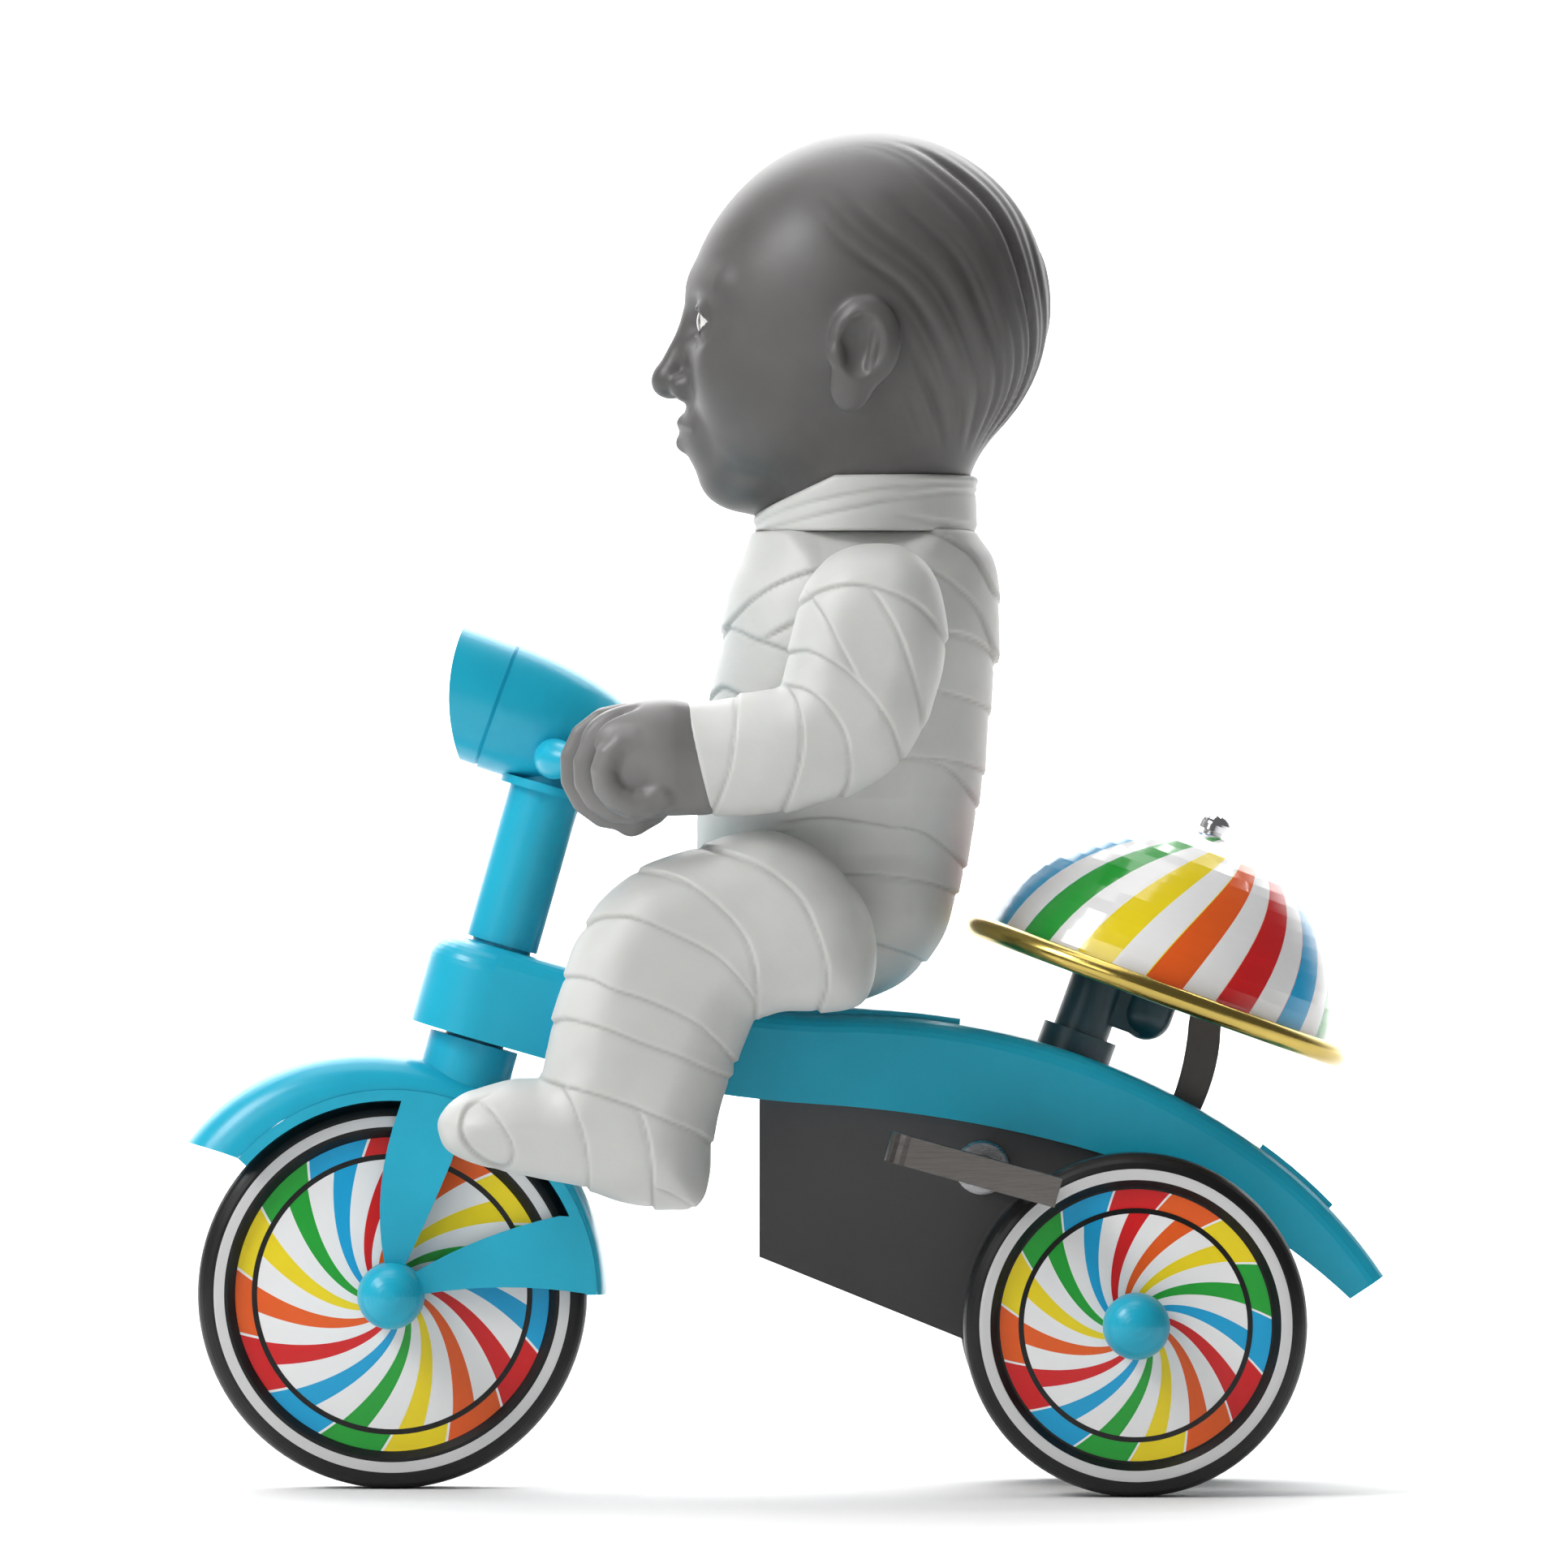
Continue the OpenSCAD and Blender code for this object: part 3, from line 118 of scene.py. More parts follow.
class Paint:
    """A procedural material. shade() ends it with its surface."""

    def __init__(self, name):
        self.material = bpy.data.materials.new(name)
        self.material.use_nodes = True
        self.tree = self.material.node_tree
        self.tree.nodes.clear()

    def node(self, kind, settings=None, values=(), output=None):
        """Any node: its settings first, then the values or wires of its sockets."""
        made = self.tree.nodes.new(kind)
        for key, value in (settings or {}).items():
            if key == "stops":
                ramp = made.color_ramp
                while len(ramp.elements) < len(value):
                    ramp.elements.new(1.0)
                for element, (place, colour) in zip(ramp.elements, value):
                    element.position = place
                    element.color = (*colour, 1)
            elif key == "ramp":
                made.color_ramp.interpolation = value
            else:
                setattr(made, key, value)
        pairs = values.items() if isinstance(values, dict) else enumerate(values)
        for key, value in pairs:
            if isinstance(key, int):
                socket = made.inputs[key]
            else:
                socket = next(s for s in made.inputs if s.name == key and s.enabled)
            if isinstance(value, Wire):
                self.tree.links.new(value.socket, socket)
            elif isinstance(value, (tuple, list)) and len(value) == 3 and socket.type == "RGBA":
                socket.default_value = (*value, 1)
            else:
                socket.default_value = value
        if output is None:
            return Wire(self, next(s for s in made.outputs if s.enabled))
        return Wire(self, made.outputs[output])

    def place(self):
        return self.node("ShaderNodeTexCoord", output="Object")

    def axes(self, origin=(0, 0, 0)):
        """x, y and z from a point, in metres."""
        moved = self.node("ShaderNodeVectorMath", {"operation": "SUBTRACT"},
                          [self.place(), tuple(origin)])
        split = self.node("ShaderNodeSeparateXYZ", None, [moved], "X")
        sockets = split.socket.node.outputs
        return [Wire(self, sockets[name]) for name in "XYZ"]

    def noise(self, scale, detail=3.0, stretch=None):
        at = self.place()
        if stretch:
            at = self.node("ShaderNodeVectorMath", {"operation": "MULTIPLY"}, [at, stretch])
        return self.node("ShaderNodeTexNoise", None,
                         {"Vector": at, "Scale": scale, "Detail": detail}, 0)

    def mix(self, amount, first, second):
        return self.node("ShaderNodeMix", {"data_type": "RGBA"},
                         {"Factor": amount, "A": first, "B": second})

    def tinted(self, colour, amount):
        """A colour times a value."""
        return self.node("ShaderNodeVectorMath", {"operation": "SCALE"},
                         {"Vector": colour, "Scale": amount})

    def bump(self, height, strength, distance):
        return self.node("ShaderNodeBump", None,
                         {"Strength": strength, "Distance": distance, "Height": height})

    def stored(self, name):
        """A value that the sculpting left on the mesh."""
        return self.node("ShaderNodeAttribute",
                         {"attribute_type": "GEOMETRY", "attribute_name": name}, output="Fac")

    def shade(self, **sockets):
        named = {key.replace("_", " "): value for key, value in sockets.items()}
        surface = self.node("ShaderNodeBsdfPrincipled", None, named)
        self.node_output = self.tree.nodes.new("ShaderNodeOutputMaterial")
        self.tree.links.new(surface.socket, self.node_output.inputs["Surface"])
        return self.material


def ink(red, green, blue):
    """A colour of 0 to 255 parts, made linear."""
    parts = [v / 255 for v in (red, green, blue)]
    return tuple(v / 12.92 if v <= 0.04045 else ((v + 0.055) / 1.055) ** 2.4 for v in parts)


RED, ORANGE, YELLOW = ink(208, 24, 28), ink(228, 92, 26), ink(236, 212, 28)
GREEN, BLUE, WHITE = ink(30, 160, 52), ink(14, 160, 212), ink(236, 236, 236)
BLACK = ink(9, 9, 9)
CANDY = [RED, ORANGE, YELLOW, GREEN, BLUE]


def candy_inks(paint, share):
    """The five inks in turn as a share runs from 0 to 1."""
    stops = [(k / 5, colour) for k, colour in enumerate(CANDY)]
    return paint.node("ShaderNodeValToRGB", {"ramp": "CONSTANT", "stops": stops}, [share], 0)


def glossy_moulding(name, light, dark, rough=0.3, grain=0.03):
    paint = Paint(name)
    cloud = paint.noise(70)
    fine = paint.noise(2600, 2.0)
    return paint.shade(Base_Color=paint.mix(cloud.ease(0.3, 0.7), dark, light),
                       Roughness=cloud * 0.1 + (rough - 0.05),
                       Normal=paint.bump(fine, grain, 0.0002),
                       Specular_IOR_Level=0.35, Coat_Weight=0.12, Coat_Roughness=0.22)


def metal(name, colour, rough, brushed=(1, 1, 1), worn=0.12):
    paint = Paint(name)
    marks = paint.noise(900, 4.0, brushed)
    cloud = paint.noise(160)
    tint = paint.tinted(colour, cloud * worn + (1 - worn * 0.5))
    return paint.shade(Base_Color=tint, Metallic=1.0, Roughness=marks * 0.14 + (rough - 0.07),
                       Normal=paint.bump(marks, 0.05, 0.0001))


CYAN = glossy_moulding("cyan_moulding", ink(30, 172, 202), ink(26, 160, 190))
DARK_TEAL = glossy_moulding("bell_foot_moulding", ink(14, 54, 64), ink(10, 44, 54), 0.35)
STEEL = metal("bright_steel", ink(196, 196, 198), 0.28, (1, 1, 6))
KEY_STEEL = metal("pressed_key_steel", ink(128, 124, 121), 0.24, (0.3, 3, 3))
SPRING_STEEL = metal("striker_steel", ink(84, 82, 80), 0.38)
CHROME = metal("chromed_nut", ink(228, 228, 232), 0.1, worn=0.04)
BRASS = metal("brass_bead", ink(196, 172, 92), 0.22, (3, 3, 1), 0.25)
GEAR_BRASS = metal("gear_brass", ink(206, 176, 84), 0.3)


def housing_paint():
    paint = Paint("charcoal_housing")
    cloud = paint.noise(60)
    grain = paint.noise(3200, 2.0)
    x, y, z = paint.axes()
    # painted light and shade: the grey is lighter towards the top and darker towards the bottom, as if lit from
    # above
    fade = z.ease(0.008, 0.036)
    base = paint.mix(fade, ink(62, 62, 62), ink(74, 74, 75))
    return paint.shade(Base_Color=base, Roughness=cloud * 0.1 + 0.42,
                       Normal=paint.bump(grain, 0.06, 0.0002))


def lens_paint():
    paint = Paint("lamp_lens")
    x, y, z = paint.axes()
    flutes = ((y / 0.0011).fraction() - 0.5).math("ABSOLUTE")
    return paint.shade(Base_Color=(0.86, 0.93, 0.96), Roughness=0.08, Transmission_Weight=0.85,
                       IOR=1.46, Normal=paint.bump(flutes, 0.4, 0.0003))


def wheel_paint(name, hub, radius, rings):
    """Printed spirals; rings are shares of the radius: seam, line in, colour, black, white, tyre."""
    line_in, colour_in, colour_out, white_in, white_out = rings
    paint = Paint(name)
    x, y, z = paint.axes(np.array(hub) * MM)
    facing = (y < 0) * 2 - 1
    across = x * facing
    share = (across * across + z * z).math("SQRT") / (radius * MM)
    angle = across.math("ARCTAN2", z)
    lead = (share / 0.667).log() * math.radians(32.5) - math.radians(14.7)
    turn = (angle - lead) / (2 * math.pi / 15)
    stripe = turn.fraction()
    inks = candy_inks(paint, (turn / 5).fraction())
    swirl = paint.mix(stripe.between(0.5, 0.95), WHITE, inks)
    divided = paint.mix(stripe.between(0.03, 0.985), WHITE, inks)
    colour = paint.mix(share > line_in, swirl, BLACK)
    colour = paint.mix(share > colour_in, colour, divided)
    colour = paint.mix(share > colour_out, colour, BLACK)
    colour = paint.mix(share > white_in, colour, ink(205, 205, 205))
    colour = paint.mix(share > white_out, colour, BLACK)
    tyre = share > colour_out
    scuff = paint.noise(420)
    return paint.shade(Base_Color=colour, Roughness=scuff * 0.12 + 0.26 + tyre * 0.14,
                       Normal=paint.bump(paint.noise(1800, 2.0), 0.03, 0.0002),
                       Specular_IOR_Level=0.35, Coat_Weight=0.12, Coat_Roughness=0.15)


def bell_paint(low, tilt, radius, height):
    """Spiral stripes that narrow towards the bell's nut."""
    paint = Paint("striped_bell_print")
    x, y, z = paint.axes(low)
    back = x * math.cos(tilt) - z * math.sin(tilt)
    up = x * math.sin(tilt) + z * math.cos(tilt)
    reach = (back * back + y * y).math("SQRT") / radius
    climb = reach.math("ARCTAN2", up / height) / (math.pi / 2)
    shift = climb.math("MAXIMUM", 0.02).log() * math.radians(27)
    angle = back.math("ARCTAN2", y * -1) + shift
    turn = (angle + math.radians(31.4)) / (2 * math.pi / 15)
    inks = paint.node("ShaderNodeValToRGB", {"ramp": "CONSTANT", "stops": [
        (k / 5, colour) for k, colour in enumerate([YELLOW, ORANGE, RED, BLUE, GREEN])]},
        [(turn / 5).fraction()], 0)
    colour = paint.mix(turn.fraction() < 0.525, WHITE, inks)
    return paint.shade(Base_Color=colour, Roughness=paint.noise(300) * 0.06 + 0.14,
                       Normal=paint.bump(paint.noise(900), 0.015, 0.0002),
                       Coat_Weight=0.6, Coat_Roughness=0.06)


def bandage_paint():
    """Off-white vinyl, with painted shade where one strip dips under the next."""
    paint = Paint("bandage_vinyl")
    cloud = paint.noise(90)
    weave = paint.noise(1500, 3.0)
    base = paint.mix(cloud.ease(0.3, 0.7), ink(196, 197, 194), ink(206, 207, 204))
    # painted shade: the stored crease value mixes the vinyl towards a darker grey in the grooves
    base = paint.mix(paint.stored("crease"), base, ink(128, 127, 122))
    return paint.shade(Base_Color=base, Roughness=cloud * 0.12 + 0.4,
                       Normal=paint.bump(weave, 0.05, 0.0003),
                       Subsurface_Weight=0.06, Subsurface_Scale=0.001)


def skin_paint(name, light):
    """Grey vinyl of the head and hands, with painted shade where the sculpting marked grooves."""
    paint = Paint(name)
    cloud = paint.noise(110)
    fine = paint.noise(2200, 2.0)
    base = paint.mix(cloud.ease(0.3, 0.7), ink(light - 9, light - 10, light - 11),
                     ink(light, light - 1, light - 2))
    # painted shade: the stored crease value mixes the grey towards a darker grey in the grooves
    base = paint.mix(paint.stored("crease"), base, ink(62, 62, 62))
    return paint.shade(Base_Color=base, Roughness=cloud * 0.1 + 0.36, Specular_IOR_Level=0.4,
                       Normal=paint.bump(fine, 0.04, 0.0002))


def eye_paint(centres, reach):
    """White with a grey iris and a dark pupil towards the front."""
    paint = Paint("painted_eyes")
    x, y, z = paint.axes((centres[0] * MM, 0, centres[2] * MM))
    aside = abs(y) - abs(centres[1]) * MM
    off = (aside * aside + z * z).math("SQRT") / (reach * MM)
    colour = paint.mix(off < 0.52, ink(226, 224, 220), ink(46, 44, 42))
    colour = paint.mix(off < 0.26, colour, ink(10, 10, 10))
    return paint.shade(Base_Color=colour, Roughness=paint.noise(500) * 0.04 + 0.1,
                       Coat_Weight=0.8, Coat_Roughness=0.04)


HOUSING = housing_paint()
LENS = lens_paint()
BANDAGE = bandage_paint()
HEAD_VINYL = skin_paint("grey_vinyl", 91)
HAND_VINYL = skin_paint("light_grey_vinyl", 124)


# ---------------------------------------------------------------- sculpting tools

def curve_through(points, steps, closed=False):
    """Smooth curve through points: steps places for each stretch."""
    p = np.array(points, float)
    if closed:
        p = np.vstack([p[-1:], p, p[:2]])
    else:
        p = np.vstack([2 * p[0] - p[1], p, 2 * p[-1] - p[-2]])
    t = np.linspace(0, 1, steps, endpoint=False)[:, None]
    out = []
    for a, b, c, d in zip(p, p[1:], p[2:], p[3:]):
        out.append(0.5 * (2 * b + (c - a) * t + (2 * a - 5 * b + 4 * c - d) * t ** 2
                          + (3 * b - a - 3 * c + d) * t ** 3))
    if not closed:
        out.append(p[-2:-1])
    return np.vstack(out)


def line_distance(places, line):
    """Distance to a line of the side view, which side it is on, and the share along it."""
    best = np.full(len(places), 1e9)
    side = np.zeros(len(places))
    along = np.zeros(len(places))
    lengths = np.concatenate([[0], np.cumsum(np.linalg.norm(np.diff(line, axis=0), axis=1))])
    for a, b, start in zip(line, line[1:], lengths):
        way = b - a
        size = max(np.hypot(*way), 1e-6)
        off = places - a
        t = np.clip((off @ way) / size ** 2, 0, 1)
        near = off - t[:, None] * way
        far = np.hypot(near[:, 0], near[:, 1])
        closer = far < best
        best = np.where(closer, far, best)
        side = np.where(closer, np.sign(way[0] * off[:, 1] - way[1] * off[:, 0]), side)
        along = np.where(closer, start + t * size, along)
    return best, side, along, lengths[-1]


class Outline:
    """Signed distance to a closed outline of the side view, kept on a fine grid."""

    STEP = 0.12

    def __init__(self, points, soften=0.35):
        loop = curve_through(points, 5, closed=True)
        self.low = loop.min(0) - 5
        size = ((loop.max(0) + 5 - self.low) / self.STEP).astype(int) + 2
        grid = np.stack(np.meshgrid(*[np.arange(n) for n in size], indexing="ij"), -1)
        places = grid.reshape(-1, 2) * self.STEP + self.low
        ring = np.vstack([loop, loop[:1]])
        far, _, _, _ = line_distance(places, ring)
        inside = np.zeros(len(places), bool)
        for (x0, z0), (x1, z1) in zip(ring, ring[1:]):
            crosses = (z0 > places[:, 1]) != (z1 > places[:, 1])
            rise = z1 - z0 if z1 != z0 else 1e-9
            inside ^= crosses & (places[:, 0] < (x1 - x0) * (places[:, 1] - z0) / rise + x0)
        field = np.where(inside, -far, far).reshape(size)
        reach = int(3 * soften / self.STEP)
        weights = np.exp(-0.5 * (np.arange(-reach, reach + 1) * self.STEP / soften) ** 2)
        weights /= weights.sum()
        for axis in (0, 1):
            field = np.apply_along_axis(
                lambda row: np.convolve(np.pad(row, reach, "edge"), weights, "valid"), axis, field)
        self.field = field

    def __call__(self, x, z):
        at = (np.stack([x, z], -1) - self.low) / self.STEP
        at = np.clip(at, 0, np.array(self.field.shape) - 1.001)
        cell = at.astype(int)
        fx, fz = (at - cell).T
        i, k = cell.T
        f = self.field
        return ((f[i, k] * (1 - fx) + f[i + 1, k] * fx) * (1 - fz)
                + (f[i, k + 1] * (1 - fx) + f[i + 1, k + 1] * fx) * fz)


def join(a, b, blend):
    """Union of two shapes with a soft seam."""
    h = np.clip(0.5 + 0.5 * (b - a) / blend, 0, 1)
    return b * (1 - h) + a * h - blend * h * (1 - h)


def carve(a, b, blend):
    """Shape a without shape b, with a soft edge."""
    return -join(-a, b, blend)


def ball(p, centre, radii):
    """Ball or egg; the distance is near enough beside the surface."""
    radii = np.broadcast_to(np.asarray(radii, float), 3)
    q = (p - centre) / radii
    size = np.linalg.norm(q, axis=1)
    slope = np.linalg.norm(q / radii, axis=1)
    return size * (size - 1) / np.maximum(slope, 1e-9)


def bone(p, a, b, ra, rb=None):
    """Round bar between two points, with a radius at each end."""
    rb = ra if rb is None else rb
    a, b = np.asarray(a, float), np.asarray(b, float)
    way = b - a
    t = np.clip((p - a) @ way / (way @ way), 0, 1)
    return np.linalg.norm(p - a - t[:, None] * way, axis=1) - (ra + (rb - ra) * t)


def pressed(outline, centre, half, rounding, crown=0.0, depth=6.0):
    """Body with the side view's outline and rounded sides; centre and half may vary."""
    def distance(p):
        side = outline(p[:, 0], p[:, 2])
        lean = crown * (1 - np.clip(-side / depth, 0, 1)) ** 2
        across = np.abs(p[:, 1] - centre(p)) - half(p) + lean
        r = np.minimum(rounding, half(p))
        u, v = side + r, across + r
        return np.hypot(np.maximum(u, 0), np.maximum(v, 0)) + np.minimum(np.maximum(u, v), 0) - r
    return distance


def slope_of(distance, p, h=0.05):
    """Unit slope of a shape at points."""
    g = np.stack([distance(p + h * e) - distance(p - h * e) for e in np.eye(3)], -1)
    return g / np.maximum(np.linalg.norm(g, axis=1, keepdims=True), 1e-9)


def surface_net(field, low, step):
    """Points and quads where a sampled shape's distance is zero."""
    inside = field < 0
    shape = np.array(field.shape) - 1
    total = np.zeros((*shape, 3))
    count = np.zeros(shape)
    crossings = []
    for axis in range(3):
        a = field.take(range(0, field.shape[axis] - 1), axis)
        b = field.take(range(1, field.shape[axis]), axis)
        ia = inside.take(range(0, field.shape[axis] - 1), axis)
        ib = inside.take(range(1, field.shape[axis]), axis)
        cells = np.argwhere(ia != ib)
        key = tuple(cells.T)
        t = a[key] / (a[key] - b[key])
        crossings.append((axis, cells, ia[key]))
        point = cells.astype(float)
        point[:, axis] += t
        u, v = [k for k in range(3) if k != axis]
        for du in (0, 1):
            for dv in (0, 1):
                cell = cells.copy()
                cell[:, u] -= du
                cell[:, v] -= dv
                ok = np.all((cell >= 0) & (cell < shape), axis=1)
                place = tuple(cell[ok].T)
                np.add.at(total, place, point[ok])
                np.add.at(count, place, 1)
    used = count > 0
    number = np.full(shape, -1)
    number[used] = np.arange(used.sum())
    points = total[used] / count[used][:, None] * step + low
    quads = []
    for axis, cells, starts_inside in crossings:
        u, v = (axis + 1) % 3, (axis + 2) % 3
        corner = []
        for du, dv in ((0, 0), (1, 0), (1, 1), (0, 1)):
            cell = cells.copy()
            cell[:, u] -= du
            cell[:, v] -= dv
            corner.append(number[tuple(cell.T)])
        quad = np.stack(corner, 1)
        quad[~starts_inside] = quad[~starts_inside][:, ::-1]
        quads.append(quad)
    return points, np.vstack(quads)


def sculpt(distance, low, high, step, relief=None):
    """Mesh points and quads of a shape, with a fine relief along its normals and the painted shade of its
    grooves.
    """
    low, high = np.array(low, float), np.array(high, float)
    axes = [np.arange(a, b + step, step) for a, b in zip(low, high)]
    grid = np.stack(np.meshgrid(*axes, indexing="ij"), -1)
    field = np.concatenate([distance(block.reshape(-1, 3)).reshape(block.shape[:-1])
                            for block in np.array_split(grid, 12)])
    field[field == 0] = 1e-6
    points, quads = surface_net(field, low, step)
    for _ in range(3):
        points = points - slope_of(distance, points) * distance(points)[:, None]
    # painted shade for grooves comes from the relief; it stays zero without one
    crease = np.zeros(len(points))
    if relief:
        normals = slope_of(distance, points)
        lift, crease = relief(points, normals)
        points = points + normals * lift[:, None]
    return points, quads, crease


def piece(name, points, quads, material, slot, body, replaced=(), crease=None, smooth=True):
    """A mesh in millimetres becomes a piece that rides on a body."""
    mesh = bpy.data.meshes.new(name)
    mesh.from_pydata((np.asarray(points) * MM).tolist(), [], np.asarray(quads).tolist()
                     if isinstance(quads, np.ndarray) else quads)
    mesh.update()
    if crease is not None:
        # the painted shade of grooves is stored on the points for the material to darken them
        layer = mesh.attributes.new("crease", "FLOAT", "POINT")
        layer.data.foreach_set("value", np.asarray(crease, np.float32))
    mesh.polygons.foreach_set("use_smooth", [smooth] * len(mesh.polygons))
    obj = bpy.data.objects.new(name, mesh)
    bpy.context.scene.collection.objects.link(obj)
    mesh.materials.append(material)
    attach(obj, body)
    if replaced:
        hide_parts(*replaced)
    return obj


def mirrored(points, quads):
    return points * np.array([1, -1, 1]), quads[:, ::-1]


def stations(table):
    """Function that reads a value from a table of places and values, smoothly enough."""
    at, value = np.array(table, float).T
    return lambda z: np.interp(z, at, value)


# ---------------------------------------------------------------- bandage wraps

def wraps(lines, origin, lift=0.2, reach=2.6, twist=0.0, near=0.0):
    """Relief of bandage strips: the strip on a line's left stands over the next one; also gives painted shade
    along each groove.
    """
    curves = []
    for line in lines:
        curves.append(curve_through(np.array(line) + origin, 5))

    def relief(points, normals):
        places = points[:, [0, 2]].copy()
        places[:, 1] += twist * (points[:, 1] - near)
        amount = np.zeros(len(points))
        crease = np.zeros(len(points))
        for curve in curves:
            far, side, along, length = line_distance(places, curve)
            signed = far * side
            ends = np.minimum(along, length - along)
            fade = np.clip((ends + 0.4) / 1.4, 0, 1)
            past = (ends <= 1e-6) & (far > 0.6)
            fade = np.where(past, fade * np.exp(-((far - 0.6) / 0.8) ** 2), fade)
            edge = np.clip((signed + 0.16) / 0.32, 0, 1)
            edge = edge * edge * (3 - 2 * edge)
            amount += lift * fade * edge * np.exp(-np.maximum(signed, 0) / reach)
            groove = np.exp(-((signed + 0.12) / 0.17) ** 2)
            under = np.exp(-np.maximum(-signed, 0) / 0.9) * (signed < 0)
            amount -= fade * (0.09 * groove + 0.04 * under)
            # painted shade: a narrow band along each groove, later mixed darker into the vinyl colour
            crease = np.maximum(crease, fade * np.exp(-((signed + 0.08) / 0.13) ** 2))
        return amount, crease * 0.5
    return relief


shoulder = pivot("left_shoulder")
hip = pivot("left_hip")
neck = pivot("head_turn")

TORSO_SIDE = [
    (-1.9, 80), (-2.6, 77.7), (-3.2, 75.7), (-4.1, 73.8), (-4.6, 71.3), (-4.9, 68.8), (-5.4, 66.4), (-5.9, 64),
    (-6.4, 60.5), (-6.8, 57), (-7.0, 54.6), (-6.95, 52), (-6.6, 48), (-5.8, 44), (-4.6, 41),
    (-2.6, 39.4), (0.5, 38.9), (3.6, 38.9), (6.3, 39.5), (9.5, 40.9), (11.5, 42.8), (13.1, 45.1),
    (14, 48), (15, 51.7), (15.6, 55), (16.2, 58.9), (16.7, 63.6), (17.2, 68.2), (17.3, 72.1),
    (16.9, 75.4), (15.5, 77.6), (15, 80), (10, 80.3), (4, 80.3)]
TORSO_LINES = [
    [(-9, 66.5), (-6, 68.6), (-4.7, 70.2), (-2.9, 72), (-0.8, 73.3), (1, 74), (3.2, 74.6)],
    [(-1.6, 69), (-0.4, 69.6), (1.2, 70.4)],
    [(-7.5, 71.4), (-4.2, 70.3), (-2.2, 69.1), (0.7, 67.8), (4, 66)],
    [(11, 78), (13, 77.4), (14.1, 76.8), (15.2, 76), (16.2, 74.5), (17, 73.1), (19, 71.5)],
    [(9.5, 75.2), (12.1, 74.3), (14.1, 73.1), (15.7, 71.5), (16.8, 68.6), (17.6, 66.6), (19, 65.2)],
    [(11, 69.6), (12.6, 69.5), (15.2, 69.2), (17.7, 67.7), (19.5, 66)],
    [(7, 65), (11.9, 64.8), (14.4, 64.4), (17, 63.7), (19.5, 62.6)],
    [(4.5, 59.2), (8.6, 59.3), (10.8, 59.4), (13.7, 59.3), (16.2, 58.9), (19, 58.2)],
    [(11.5, 59.2), (13, 58.8), (14.4, 57.7), (15.7, 56.2), (17.5, 54)],
    [(-0.4, 54.3), (2.9, 54.6), (5.7, 54.4), (9.4, 53.8)],
    [(9, 54), (11.2, 53.6), (13, 52.6), (15, 51), (17.5, 48.8)],
    [(-9.5, 51.2), (-7.3, 52), (-5.1, 52.7), (-1.9, 53.4), (0.7, 53.6)],
    [(3.9, 50.2), (7.6, 50.1), (11.5, 49.7), (14.8, 48.9), (17.5, 47.9)],
    [(-8.5, 62.6), (-6.6, 64.3), (-5.5, 65.2), (-4.7, 65.4), (-3.3, 64.5), (-1.5, 63)],
    [(6.8, 44.8), (8.5, 44.4), (10.6, 43.9), (12.6, 43.2), (15, 42)],
    [(-9.5, 59.4), (-6.6, 60.4), (-3, 60.9), (1, 60.4)],
    [(-9.5, 56.8), (-6.8, 56.4), (-2, 56.9), (3, 57.2)],
    [(-9.5, 47.2), (-6, 48.2), (-1, 48.8)]]
ARM_SIDE = [
    (0.7, 5), (2.7, 4.7), (4.2, 3.6), (5.3, 1.8), (5.8, -0.4), (6, -2.6), (5.7, -5.1), (5, -7.3),
    (4.2, -9.5), (3.1, -11.4), (1.8, -13), (0.2, -14.1), (-2, -15.2), (-4.9, -16), (-7, -16.5),
    (-9.9, -16.8), (-12.8, -16.7), (-16.8, -16.6), (-18.6, -12), (-17.6, -7.9), (-15, -7.7),
    (-12.8, -7.6),
    (-10.7, -7.2), (-8.5, -6.8), (-7.2, -6.3), (-6.8, -4.6), (-6.4, -2.9), (-6, -0.8), (-5.5, 0.9),
    (-4.6, 2.5), (-3.2, 4), (-1.4, 4.8)]
ARM_LINES = [
    [(-6.6, -0.4), (-5.1, 0.6), (-4, 1.2), (-2.5, 1.6), (-1.1, 1.7), (0.9, 1.3), (3.1, 0.4),
     (4.7, -0.9), (6, -2.9), (6.8, -4.6)],
    [(0.1, 1.3), (1.1, -0.2), (2.2, -2.2), (3, -4.4), (3.6, -6.6), (4, -8.4), (4, -9.8)],
    [(-4.9, 1), (-3.5, -1.1), (-2.3, -3.5), (-1, -5.9)],
    [(-8, -4), (-6.9, -3.8), (-6, -3.6), (-4.9, -3.6), (-3.4, -4.3), (-1.8, -5.4), (-0.2, -7),
     (1.2, -8.9), (2, -10.7), (2.5, -12.5), (2.6, -14)],
    [(-7.2, -6.3), (-5.4, -6.6), (-4, -7.5), (-2.8, -8.9), (-2, -10.5), (-1.7, -12.4),
     (-1.8, -14.2), (-2.4, -15.4), (-3, -17)],
    [(-6.9, -6.2), (-6, -7.5), (-5.5, -9.5), (-5.5, -11.6), (-6, -13.8), (-7.2, -16.8), (-7.8, -18)],
    [(-10.6, -5.8), (-10.7, -7), (-10.8, -9.5), (-11.1, -12.4), (-11.9, -14.9), (-12.9, -16.9),
     (-13.6, -18.4)]]
